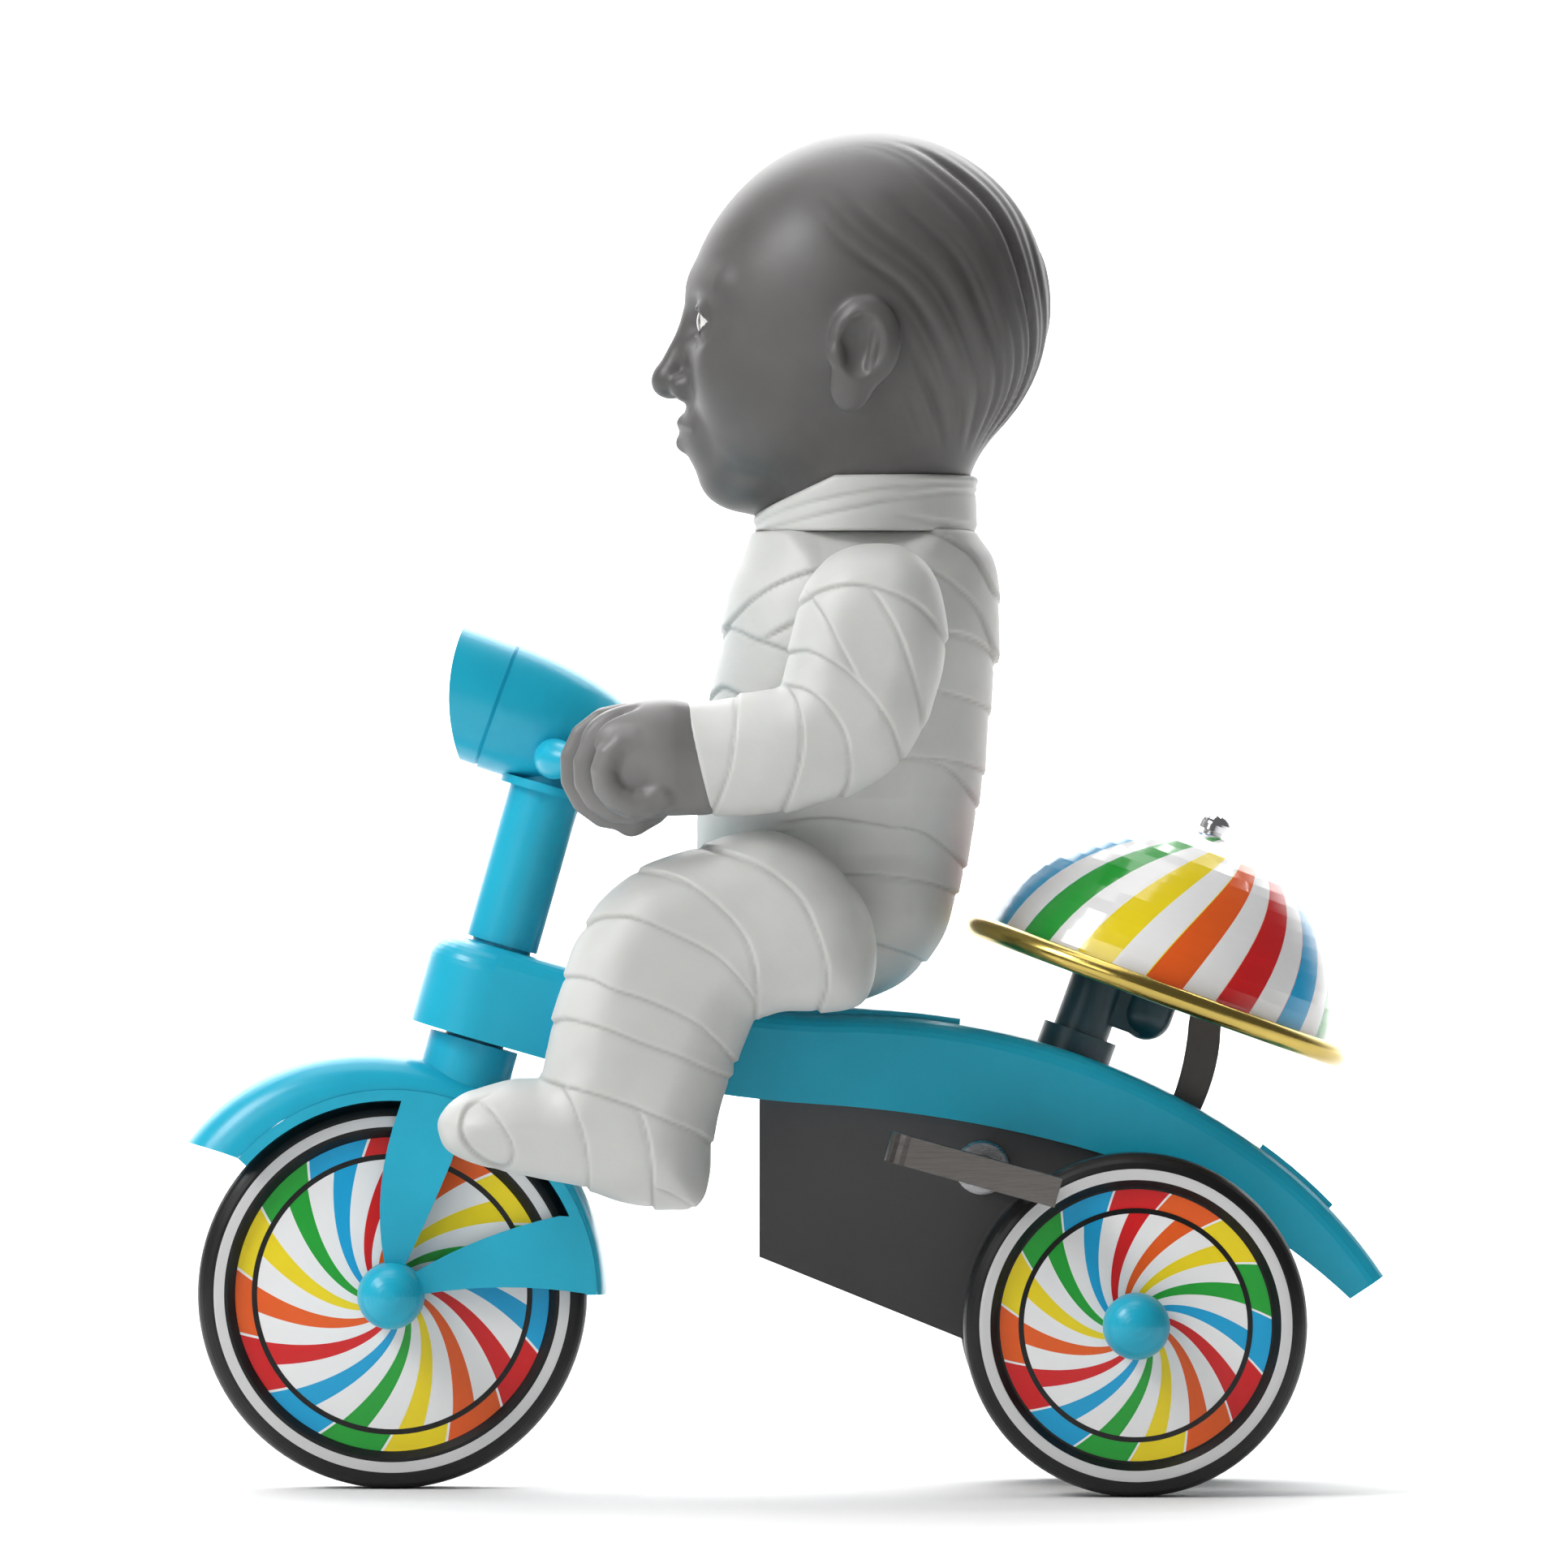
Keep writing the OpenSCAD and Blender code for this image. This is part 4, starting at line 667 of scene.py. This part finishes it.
LEG_SIDE = [
    (-1.8, 8.1), (0.9, 7.2), (2.9, 5.9), (4.5, 4.2), (5.8, 2.4), (6.6, 0.3), (6.8, -2.2),
    (6.4, -4.5), (5.2, -6.0), (2, -6.35), (-0.7, -6.3), (-2.8, -6.9), (-3.7, -8.4), (-4.6, -10.3),
    (-5, -11.8), (-5.8, -14.1), (-6.5, -17.1), (-6.7, -19.9), (-7.2, -21.5), (-8.2, -22.3),
    (-9.7, -22.3), (-11.3, -22.2), (-13.8, -21.7), (-16.6, -20.6), (-19.9, -19.9), (-23.6, -19),
    (-25.9, -18.4), (-27.7, -17.5), (-28.3, -16.3), (-28.4, -15.2), (-27.8, -14.2), (-27.4, -13.8),
    (-26.2, -13), (-24.9, -12.5), (-22.9, -11.9), (-21.2, -11.8), (-20.1, -11.6), (-19.7, -9.5),
    (-19.2, -7.1), (-18.7, -5.2), (-18.1, -3.3), (-17.5, -1.2), (-16.7, 0.2), (-16.1, 1.2),
    (-15.3, 2.4), (-14, 3.7), (-12.3, 4.9), (-9.7, 6), (-7.2, 6.8), (-4.7, 7.7)]
LEG_LINES = [
    [(-8.6, 6.9), (-7.2, 6.8), (-4.7, 6.2), (-1.9, 5), (0.6, 2.9), (2, 0.3), (2.8, -2.4),
     (2.8, -4.7), (1.9, -7), (1.4, -8.4)],
    [(-13.6, 4.9), (-12.3, 4.9), (-9.7, 4.5), (-7.2, 3.2), (-4.7, 1), (-3.3, -1.2), (-2.8, -3.5),
     (-2.8, -6), (-2.9, -7.5)],
    [(-18, 0), (-16.6, 0.5), (-15.6, 1.1), (-14.3, 1.3), (-12.3, 1.1), (-9.2, -0.2), (-6, -1.9),
     (-3.9, -4), (-2.6, -6)],
    [(-20, -4), (-18.5, -3.7), (-17.3, -3.5), (-15.8, -3.8), (-14.3, -4.5), (-11.3, -5.5),
     (-7.7, -7.2), (-5.7, -9), (-4.3, -10.9), (-3.5, -12)],
    [(-21, -7.6), (-19.5, -7.3), (-18.1, -6.9), (-16.6, -7.2), (-14.8, -7.7), (-11.8, -8.9),
     (-8.7, -10), (-6.7, -10.9), (-4.7, -11.8), (-3.5, -12.8)],
    [(-20.4, -11.6), (-18.6, -12.2), (-16.1, -12.8), (-13.3, -13.7), (-10.3, -14.9), (-7.7, -16),
     (-6.2, -17.2), (-5, -18.4)],
    [(-18.7, -12), (-17.8, -13.2), (-17.1, -14.8), (-16.6, -16.3), (-16.3, -18.4), (-16.3, -20.9),
     (-16.4, -22.4)],
    [(-12.3, -14.1), (-11.7, -15.6), (-11.3, -17.6), (-11.1, -20.1), (-11.1, -22.5), (-11.1, -24)],
    [(-11, -20.3), (-9.7, -20.8), (-8.6, -21.5), (-7.6, -22.3)],
    [(-25, -13.6), (-23.7, -14.8), (-22.5, -16.6), (-22.3, -18), (-23, -18.9), (-24.4, -18.6),
     (-25.8, -17.5), (-26.6, -15.9), (-26.2, -14.2), (-25, -13.4)]]

# ---------------------------------------------------------------- rider's body, arms and legs

torso_half = stations([(38, 4.4), (40, 5.6), (42.5, 6.5), (46, 6.75), (51.5, 6.8), (53.6, 7.8),
                       (56, 8.8), (60, 9.5), (65, 9.8), (69, 10), (73, 9.9), (76, 9.6), (77.7, 9.25), (80, 8.9)])
torso_block = pressed(Outline(TORSO_SIDE), lambda p: 0, lambda p: torso_half(p[:, 2]), 7.5, 0.8, 9)


def torso_shape(p):
    return carve(torso_block(p), 77.66 - p[:, 2], 0.3)


points, quads, crease = sculpt(torso_shape, (-8.2, -11, 37.5), (18.6, 11, 78.6), 0.24,
                               wraps(TORSO_LINES, (0, 0), 0.2, 2.6, 0.1, -9))
piece("rider_body", points, quads, BANDAGE, "torso", "frame", ["torso"], crease)

arm_low, arm_high = span("left_arm")
arm_mid = middle("left_hand")[1] - 0.4
arm_centre = lambda p: -14.6 + 0.9 * np.clip((1 - p[:, 0]) / 8, 0, 1)
arm_half = lambda p: 4.3 - 0.35 * np.clip((-2 - p[:, 0]) / 6, 0, 1)
arm_outline = Outline(np.array(ARM_SIDE) + shoulder[[0, 2]], 0.25)
arm_block = pressed(arm_outline, arm_centre, arm_half, 4.3, 0.35)


def arm_shape(p):
    cuff = (p[:, 0] + 8.0) * -0.971 + (p[:, 2] - 63.8) * -0.237
    return carve(arm_block(p), -cuff, 0.3)


points, quads, crease = sculpt(arm_shape, (-9.2, -19.6, 53.8), (13.8, -9.4, 77.3), 0.2,
                               wraps(ARM_LINES, shoulder[[0, 2]], 0.2, 2.4))
piece("left_sleeve", points, quads, BANDAGE, "left_arm", "left_arm", ["left_arm"], crease)
points, quads = mirrored(points, quads)
piece("right_sleeve", points, quads, BANDAGE, "right_arm", "right_arm", ["right_arm"], crease)

foot = lambda p: np.clip((31.5 - p[:, 2]) / 4, 0, 1)
leg_outline = Outline(np.array(LEG_SIDE) + hip[[0, 2]], 0.25)
leg_shape = pressed(leg_outline, lambda p: hip[1] - 0.35 * foot(p),
                    lambda p: 4.95 - 0.5 * foot(p) - 0.5 * np.clip((-17 - p[:, 0]) / 9, 0, 1),
                    4.6, 0.5)
points, quads, crease = sculpt(leg_shape, (-28.9, -17.9, 21.8), (8.4, -6.4, 54.6), 0.23,
                               wraps(LEG_LINES, hip[[0, 2]], 0.2, 2.6))
piece("left_trouser", points, quads, BANDAGE, "left_leg", "left_leg", ["left_leg"], crease)
points, quads = mirrored(points, quads)
piece("right_trouser", points, quads, BANDAGE, "right_leg", "right_leg", ["right_leg"], crease)


# ---------------------------------------------------------------- hands

bar_low, bar_high = span("handlebar")
grip = middle("left_hand")[[0, 2]]
bar_axis = np.array([-11.72, 57.90])


def finger(p, y, centre, reach, start, stop, thick):
    """One curled finger: a bent round bar about the handlebar."""
    turns = np.radians(np.linspace(start, stop, 10))
    path = [(centre[0] + reach * math.cos(t), y, centre[1] + reach * math.sin(t)) for t in turns]
    shape = bone(p, path[0], path[1], thick)
    for a, b in zip(path[1:], path[2:]):
        shape = np.minimum(shape, bone(p, a, b, thick))
    return shape


def hand_shape(p):
    back = ball(p, (-10.9, -13.4, 60.6), (5.5, 3.7, 3.25))
    wrist = bone(p, (-4.4, -13.5, 59.3), (-8.8, -13.6, 59.3), 3.6, 4.2)
    shape = join(back, wrist, 1.8)
    shape = join(shape, bone(p, (-12.0, -13.9, 58.4), (-12.6, -12.6, 58.5), 3.0, 3.2), 0.8)
    fingers = None
    for y, centre, reach, thick, stop in (
            (-16.05, (-11.8, 58.1), 2.55, 1.2, 318), (-14.3, (-12.6, 58.3), 3.05, 1.35, 305),
            (-12.5, (-12.95, 58.5), 3.75, 1.38, 300), (-10.85, (-12.8, 58.7), 3.7, 1.35, 300)):
        one = finger(p, y, centre, reach, 62, stop, thick)
        fingers = one if fingers is None else join(fingers, one, 0.1)
    shape = join(shape, fingers, 0.35)
    heel = bone(p, (-6.6, -13.4, 57.4), (-9.2, -13.6, 57.3), 2.7, 2.6)
    shape = join(shape, heel, 0.9)
    thumb = np.minimum(bone(p, (-8.8, -11.6, 57.4), (-10.9, -12.0, 55.2), 1.5, 1.4),
                       bone(p, (-10.9, -12.0, 55.2), (-12.3, -12.4, 54.3), 1.4, 1.35))
    shape = join(shape, thumb, 0.35)
    hole = np.maximum(np.hypot(p[:, 0] - bar_axis[0], p[:, 2] - bar_axis[1]) - 2.1, -14.9 - p[:, 1])
    front = np.clip((-11.4 - p[:, 0]) / 1.6, 0, 1)
    for y in (-15.2, -13.4, -11.7):
        shape = shape + 0.55 * front * np.exp(-((p[:, 1] - y) / 0.34) ** 2)
    return carve(shape, hole, 0.3)


points, quads, crease = sculpt(hand_shape, (-19.4, -18.8, 51.2), (0.2, -8.2, 65.6), 0.17)
piece("left_fist", points, quads, HAND_VINYL, "left_hand", "left_arm", ["left_hand"], crease)
points, quads = mirrored(points, quads)
piece("right_fist", points, quads, HAND_VINYL, "right_hand", "right_arm", ["right_hand"], crease)


# ---------------------------------------------------------------- neck and head

skull = np.array([neck[0] + 0.55, 0, 96.0])
COLLAR_R = 9.0


def collar_shape(p):
    x, y, z = p[:, 0] - neck[0], p[:, 1], p[:, 2]
    round_wall = np.hypot(x, y) - COLLAR_R
    top = np.maximum(z - 82.1, (z - 82.1 - 0.47 * (x + 2.5)) * 0.9)
    r = 0.3
    u, v = round_wall + r, top + r
    wall = np.hypot(np.maximum(u, 0), np.maximum(v, 0)) + np.minimum(np.maximum(u, v), 0) - r
    return np.maximum(wall, 77.67 - z)


COLLAR_LINES = [[(-3.4, 78.3), (0, 79.6), (4, 80.5), (8, 81.2), (12, 81.7), (17, 82.1)],
                [(-3, 77.9), (2, 78.9), (7, 79.9), (12, 80.9), (17, 81.6)],
                [(9, 79.0), (13, 78.6), (17, 78.4)]]
points, quads, crease = sculpt(collar_shape, (-3.4, -10, 77), (16.6, 10, 83), 0.22,
                               wraps(COLLAR_LINES, (0, 0), 0.1, 2.0, 0.05, -9))
piece("neck_bandage", points, quads, BANDAGE, "neck_wrap", "head", ["neck_wrap"], crease * 0.5)

EYE = np.array([-4.9, 4.5, 94.6])
EYE_R = 2.2


def head_shape(p):
    q = p.copy()
    q[:, 1] = np.abs(q[:, 1])
    shape = ball(q, skull, (14.5, 13.0, 14.25))
    shape = join(shape, ball(q, (0.8, 0, 92.0), (8.4, 9.6, 11.4)), 3.5)
    shape = join(shape, ball(q, (1.0, 0, 86.2), (7.6, 8.4, 6.0)), 3.0)
    shape = join(shape, ball(q, (-4.2, 0, 82.5), (2.7, 3.3, 2.8)), 2.4)
    shape = join(shape, bone(q, (6.5, 0, 80.6), (7.2, 0, 88), 8.0, 9.5), 1.6)
    shape = join(shape, ball(q, (-1.6, 0, 81.6), (3.4, 5.4, 2.4)), 1.2)
    shape = join(shape, bone(q, (-5.9, 1.2, 97.6), (-4.2, 6.4, 97.4), 1.5, 1.2), 1.6)
    shape = join(shape, ball(q, (-3.4, 5.2, 90.2), (3.3, 2.9, 3.2)), 2.2)
    shape = carve(shape, ball(q, (-8.0, 4.4, 94.6), (2.4, 2.5, 1.7)), 1.5)
    nose = bone(q, (-6.4, 0, 96.2), (-9.0, 0, 90.6), 1.0, 1.35)
    nose = join(nose, ball(q, (-9.2, 0, 89.9), (1.6, 1.5, 1.4)), 0.7)
    nose = join(nose, ball(q, (-7.7, 1.75, 89.4), (1.5, 1.0, 1.15)), 0.7)
    shape = join(shape, nose, 0.9)
    shape = carve(shape, ball(q, (-8.2, 0.85, 88.35), (0.8, 0.42, 0.5)), 0.25)
    shape = join(shape, ball(q, (-6.1, 0, 85.8), (2.2, 3.6, 2.6)), 1.4)
    upper = np.minimum(bone(q, (-8.1, 0.5, 86.55), (-7.2, 2.7, 85.95), 0.62, 0.4),
                       bone(q, (-8.1, 0, 86.4), (-8.1, 0.5, 86.55), 0.55, 0.62))
    lower = bone(q, (-8.0, 0, 84.95), (-7.1, 2.1, 85.35), 0.8, 0.5)
    shape = join(shape, upper, 0.5)
    shape = join(shape, lower, 0.5)
    shape = carve(shape, bone(q, (-9.0, 0, 85.75), (-7.7, 3.0, 85.8), 0.16), 0.25)
    lids = ball(q, EYE, EYE_R + 0.42)
    shape = join(shape, lids, 0.45)
    wide, tall = 2.15, 1.05
    bow = (wide ** 2 + tall ** 2) / (2 * tall)
    dy, dz = q[:, 1] - EYE[1], q[:, 2] - EYE[2]
    almond = np.maximum(np.hypot(dy, dz - (bow - tall)), np.hypot(dy, dz + (bow - tall))) - bow
    shape = carve(shape, np.maximum(almond, q[:, 0] - EYE[0] + 0.6), 0.2)
    tilt = math.radians(8)
    ex, ez = q[:, 0] - 6.4, q[:, 2] - 91.8
    ear = np.stack([ex * math.cos(tilt) - ez * math.sin(tilt), q[:, 1] - 12.9
                    - 0.12 * (ex + 1), ex * math.sin(tilt) + ez * math.cos(tilt)], 1)
    flap = join(ball(ear, (0, 0, 0.9), (2.9, 1.15, 3.7)), ball(ear, (-0.6, -0.1, -2.6), (1.7, 0.95, 2.2)), 0.9)
    flap = carve(flap, ball(ear, (-0.35, 1.35, 0.6), (1.95, 1.5, 2.65)), 0.35)
    flap = join(flap, bone(ear, (0.9, 0.2, 2.1), (0.7, 0.35, -1.0), 0.42, 0.36), 0.35)
    flap = join(flap, ball(ear, (-2.2, 0.2, -0.4), (0.7, 0.6, 0.9)), 0.4)
    shape = join(shape, flap, 0.55)
    return np.maximum(shape, 78.2 - q[:, 2])


def hair_relief(points, normals):
    """Combed-back strands: narrow grooves that run from the temples to the nape."""
    front = skull + np.array([-0.9, 0, 0.4]) * 14.4
    nape = skull + np.array([0.42, 0, -1.3]) * 14.4
    way = (nape - front) / np.linalg.norm(nape - front)
    off = points - (front + nape) / 2
    along = np.clip((points - front) @ way / np.linalg.norm(nape - front), -0.2, 1.2)
    up = np.array([-way[2], 0, way[0]])
    if up[0] < 0:
        up = -up
    around = np.degrees(np.arctan2(np.abs(points[:, 1]), off @ up))
    sway = around + 3.0 * np.sin(along * 7 + around * 0.05) + 1.2 * np.sin(along * 15 + 1.3)
    strand = 0.5 + 0.5 * np.cos(np.radians(sway) * 40)
    second = 0.5 + 0.5 * np.cos(np.radians(sway) * 73 + 1.0 + 2.0 * along)
    start = np.clip((along - 0.1 - 0.08 * np.sin(around * 0.23)) / 0.26, 0, 1)
    start = start * start * (3 - 2 * start)
    ear_gap = np.clip((np.hypot(points[:, 0] - 5.6, (points[:, 2] - 91.6) * 0.8) - 4.2) / 2.0, 0, 1)
    x, z = points[:, 0], points[:, 2]
    behind = np.clip((x - 6.6 + np.clip((z - 96) * 0.8, 0, 40)) / 3, 0, 1)
    above = np.clip((z - 84.0 - np.clip((13 - x) * 0.45, 0, 4)) / 3.5, 0, 1)
    weight = start * ear_gap * behind * above
    swell = 0.65 + 0.35 * np.sin(around * 0.31 + 2.0)
    depth = strand ** 3 * 0.34 * swell + second ** 2 * 0.1
    # The second value is painted shade, darkest at the bottom of each hair groove.
    return -depth * weight, np.clip(strand ** 4 * weight * 0.3, 0, 1)


points, quads, crease = sculpt(head_shape, (-12.2, -15.2, 78.2), (22.6, 15.2, 111), 0.27, hair_relief)
piece("rider_head", points, quads, HEAD_VINYL, "head", "head", ["head"], crease)


def globe(centre, radius, rows=24, columns=48):
    """Round ball as points and faces."""
    points = [(0, 0, radius)]
    for i in range(1, rows):
        a = math.pi * i / rows
        for k in range(columns):
            b = 2 * math.pi * k / columns
            points.append((radius * math.sin(a) * math.cos(b), radius * math.sin(a) * math.sin(b),
                           radius * math.cos(a)))
    points.append((0, 0, -radius))
    faces = []
    for k in range(columns):
        n = (k + 1) % columns
        faces.append((0, 1 + k, 1 + n))
        for i in range(rows - 2):
            a = 1 + i * columns
            faces.append((a + k, a + columns + k, a + columns + n, a + n))
        last = 1 + (rows - 2) * columns
        faces.append((last + n, last + k, len(points) - 1))
    return np.array(points) + centre, faces


EYES = eye_paint(EYE, EYE_R)
for side in (LEFT, RIGHT):
    points, faces = globe(EYE * (1, side, 1), EYE_R)
    piece(f"{'left' if side == LEFT else 'right'}_eyeball", points, faces, EYES, "head", "head")


# ---------------------------------------------------------------- steering parts

def loft(rings, closed_ends=True):
    """Points and faces of a skin through closed rings."""
    n = len(rings[0])
    points = np.vstack(rings)
    faces = [(i * n + k, i * n + (k + 1) % n, (i + 1) * n + (k + 1) % n, (i + 1) * n + k)
             for i in range(len(rings) - 1) for k in range(n)]
    if closed_ends:
        faces += [tuple(range(n))[::-1], tuple(range((len(rings) - 1) * n, len(rings) * n))]
    return points, faces


def outward(obj):
    """Turns all faces outward and marks sharp edges for shading."""
    import bmesh
    work = bmesh.new()
    work.from_mesh(obj.data)
    bmesh.ops.remove_doubles(work, verts=work.verts, dist=1e-7)
    bmesh.ops.recalc_face_normals(work, faces=work.faces)
    work.to_mesh(obj.data)
    work.free()
    obj.data.polygons.foreach_set("use_smooth", [True] * len(obj.data.polygons))
    obj.data.set_sharp_from_angle(angle=math.radians(38))
    return obj


axle = pivot("front_wheel_spin")
wheel_low, wheel_high = span("front_tyre")
wheel_r = (wheel_high[2] - wheel_low[2]) / 2
blade_out = span("fork_blade_right")[1][1]


def squared(angle, power):
    c, s = np.cos(angle), np.sin(angle)
    return (np.sign(c) * np.abs(c) ** (2 / power), np.sign(s) * np.abs(s) ** (2 / power))


def fender():
    """Crowned front mudguard that opens out towards its front."""
    crease_r, rear, front = wheel_r + 0.865, 0.75, 4.05
    wall = 0.5
    rings = []
    for f in np.linspace(0, 1, 110):
        t = min((f * 1.02) ** 1.2, 1)
        rise = rear + (front - rear) * t * t * (3 - 2 * t)
        turn = np.linspace(0, math.pi, 41)
        c, s = squared(turn, 2.35)
        outer = np.stack([-(blade_out - 0.18) * c, rise * s], 1)
        inner = np.stack([-(blade_out - wall - 0.18) * c, (rise - wall) * s], 1)[::-1]
        section = np.vstack([outer, inner])
        lift = np.maximum(section[:, 1], 0)
        angle = np.radians(f * (138.4 + 5.2 * lift / rise))
        radius = crease_r + section[:, 1]
        rings.append(np.stack([axle[0] + radius * np.cos(angle), section[:, 0],
                               axle[2] + radius * np.sin(angle)], 1))
    return loft(rings)


outward(piece("mudguard", *fender(), CYAN, "front_fender", "fork", ["front_fender"]))

foot_at = pivot("steering")
lean = math.atan2(JOINTS["steering"]["axis"][0], JOINTS["steering"]["axis"][2])


def column_point(back, up):
    return np.array([foot_at[0] + back * math.cos(lean) + up * math.sin(lean),
                     foot_at[2] - back * math.sin(lean) + up * math.cos(lean)])


def tube(path, radii, sides=28):
    """Round tube along a path of the toy's space, with flat capped ends."""
    path = np.array(path, float)
    rings = []
    way = np.gradient(path, axis=0)
    way /= np.linalg.norm(way, axis=1, keepdims=True)
    up = np.array([math.sin(lean), 0, math.cos(lean)])
    for centre, t, r in zip(path, way, radii):
        a = np.cross(up, t)
        a /= np.linalg.norm(a)
        b = np.cross(t, a)
        turn = np.linspace(0, 2 * math.pi, sides, endpoint=False)[:, None]
        rings.append(centre + r * (np.cos(turn) * a + np.sin(turn) * b))
    return loft(rings)


BAR_LEVEL = 45.4
half_path = curve_through([(0, 0), (0, 3), (0.05, 5.2), (0.6, 6.7), (2.4, 7.9), (5.4, 8.9),
                           (6.8, 10.0), (7.0, 11.4), (7.0, 13.6), (7.0, 15.1)], 8)
bar_path, bar_radii = [], []
for side, part in ((-1, half_path[::-1]), (1, half_path[1:])):
    for back, across in part:
        x, z = column_point(back, BAR_LEVEL + 0.6 * back / 7)
        bar_path.append((x, side * across, z))
        taper = np.clip((abs(across) - 5.4) / 4.2, 0, 1)
        bar_radii.append(1.66 - 0.66 * taper * taper * (3 - 2 * taper))
outward(piece("swept_bar", *tube(bar_path, bar_radii), CYAN, "handlebar", "fork", ["handlebar"]))


# ---------------------------------------------------------------- finishes of the CAD parts

FINISHES = {
    CYAN: ["frame_shell", "steering_column", "fork_stem", "fork_blade_left", "fork_blade_right",
           "lamp_shell", "lamp_hood", "front_hub_caps", "rear_hub_caps"],
    HOUSING: ["motor_case_left", "motor_case_right"],
    DARK_TEAL: ["bell_bracket"],
    STEEL: ["case_screws", "spring_post", "key_eyelet", "bell_post", "bracket_screw",
            "striker_pin", "seat_screw", "front_axle", "rear_axle", "idler_arbor", "star_cam",
            "winding_arbor", "lamp_reflector"],
    KEY_STEEL: ["key_bow"],
    SPRING_STEEL: ["mainspring", "striker_lever", "striker_hammer"],
    GEAR_BRASS: ["great_wheel", "idler_gear", "idler_pinion", "axle_pinion"],
    CHROME: ["bell_nut"],
    BRASS: ["bell_rim"],
    LENS: ["lamp_lens"],
}


def finish_node(node, material):
    mesh = frame["nodes"][node].data
    if not mesh.materials:
        mesh.materials.append(material)
    for k in range(len(mesh.materials)):
        mesh.materials[k] = material


for material, names in FINISHES.items():
    for node in names:
        finish_node(node, material)

rear_hub = pivot("rear_axle_spin")
rear_r = (span("rear_tyre_left")[1][2] - span("rear_tyre_left")[0][2]) / 2
FRONT_RINGS = (0.693, 0.721, 0.806, 0.861, 0.915)
REAR_RINGS = (0.65, 0.681, 0.79, 0.845, 0.909)
front_print = wheel_paint("front_wheel_print", axle, wheel_r, FRONT_RINGS)
for node in ("front_tyre", "front_discs", "front_hub"):
    finish_node(node, front_print)
for hand in ("left", "right"):
    hub = (rear_hub[0], middle(f"rear_tyre_{hand}")[1], rear_hub[2])
    rear_print = wheel_paint(f"{hand}_wheel_print", hub, rear_r, REAR_RINGS)
    for node in (f"rear_tyre_{hand}", f"rear_discs_{hand}", f"rear_hub_{hand}"):
        finish_node(node, rear_print)

bell_axis = JOINTS["bell_spin"]["axis"]
bell_tilt = math.atan2(bell_axis[0], bell_axis[2])
bell_r = (span("bell_dome")[1][1] - span("bell_dome")[0][1]) / 2
finish_node("bell_dome", bell_paint(pivot("bell_spin") * MM, bell_tilt, bell_r * MM, 13.5 * MM))

# ---------------------------------------------------------------- room, light and camera

low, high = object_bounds()


def flat_sheet(name, size, z, colour):
    paint = Paint(name)
    cloud = paint.noise(3)
    shade = paint.mix(cloud.ease(0.3, 0.7), colour, tuple(0.985 * c for c in colour))
    material = paint.shade(Base_Color=shade, Roughness=cloud * 0.05 + 0.7)
    mesh = bpy.data.meshes.new(name)
    s = size / 2
    bend = [(-s, 0)] + [(s * 0.35 + 0.35 * math.sin(t), 0.35 - 0.35 * math.cos(t))
                        for t in np.linspace(0, math.pi / 2, 20)] + [(s * 0.35 + 0.35, 2.2)]
    verts = [(x, y, z + h) for y, h in bend for x in (-s, s)]
    faces = [(2 * i, 2 * i + 1, 2 * i + 3, 2 * i + 2) for i in range(len(bend) - 1)]
    mesh.from_pydata(verts, [], faces)
    mesh.polygons.foreach_set("use_smooth", [True] * len(faces))
    obj = bpy.data.objects.new(name, mesh)
    mesh.materials.append(material)
    bpy.context.scene.collection.objects.link(obj)
    return obj


flat_sheet("studio_floor", 8.0, 0.0, (0.86, 0.86, 0.86))


def softbox(name, place, target, size, watts):
    lamp = bpy.data.lights.new(name, "AREA")
    lamp.shape = "RECTANGLE"
    lamp.size, lamp.size_y = size
    lamp.energy = watts
    obj = bpy.data.objects.new(name, lamp)
    obj.location = place
    obj.rotation_euler = (Vector(target) - Vector(place)).to_track_quat("-Z", "Y").to_euler()
    bpy.context.scene.collection.objects.link(obj)


softbox("key_light", (-0.62, -0.34, 0.66), (0, 0, 0.055), (0.36, 0.36), 5.4)
softbox("fill_light", (-0.62, -0.85, 0.5), (0, 0, 0.05), (0.5, 0.4), 1.6)
softbox("top_light", (-0.1, 0.05, 0.8), (0, 0, 0.05), (0.6, 0.5), 2.2)
softbox("backdrop_light", (0, 1.0, 1.7), (0, 2.9, 0.25), (2.4, 0.8), 120.0)

world = bpy.data.worlds.new("soft_room")
world.use_nodes = True
background = world.node_tree.nodes["Background"]
background.inputs["Color"].default_value = (1, 1, 1, 1)
background.inputs["Strength"].default_value = 0.14
bpy.context.scene.world = world
bpy.context.scene.view_settings.view_transform = "Standard"

camera_data = bpy.data.cameras.new("studio_camera")
camera_data.sensor_width = 36
camera_data.lens = 338.8
camera_data.clip_start = 0.05
camera = bpy.data.objects.new("studio_camera", camera_data)
camera.location = (0, -1.2, 0.0572)
camera.rotation_euler = (math.pi / 2, 0, 0)
bpy.context.scene.collection.objects.link(camera)
bpy.context.scene.camera = camera
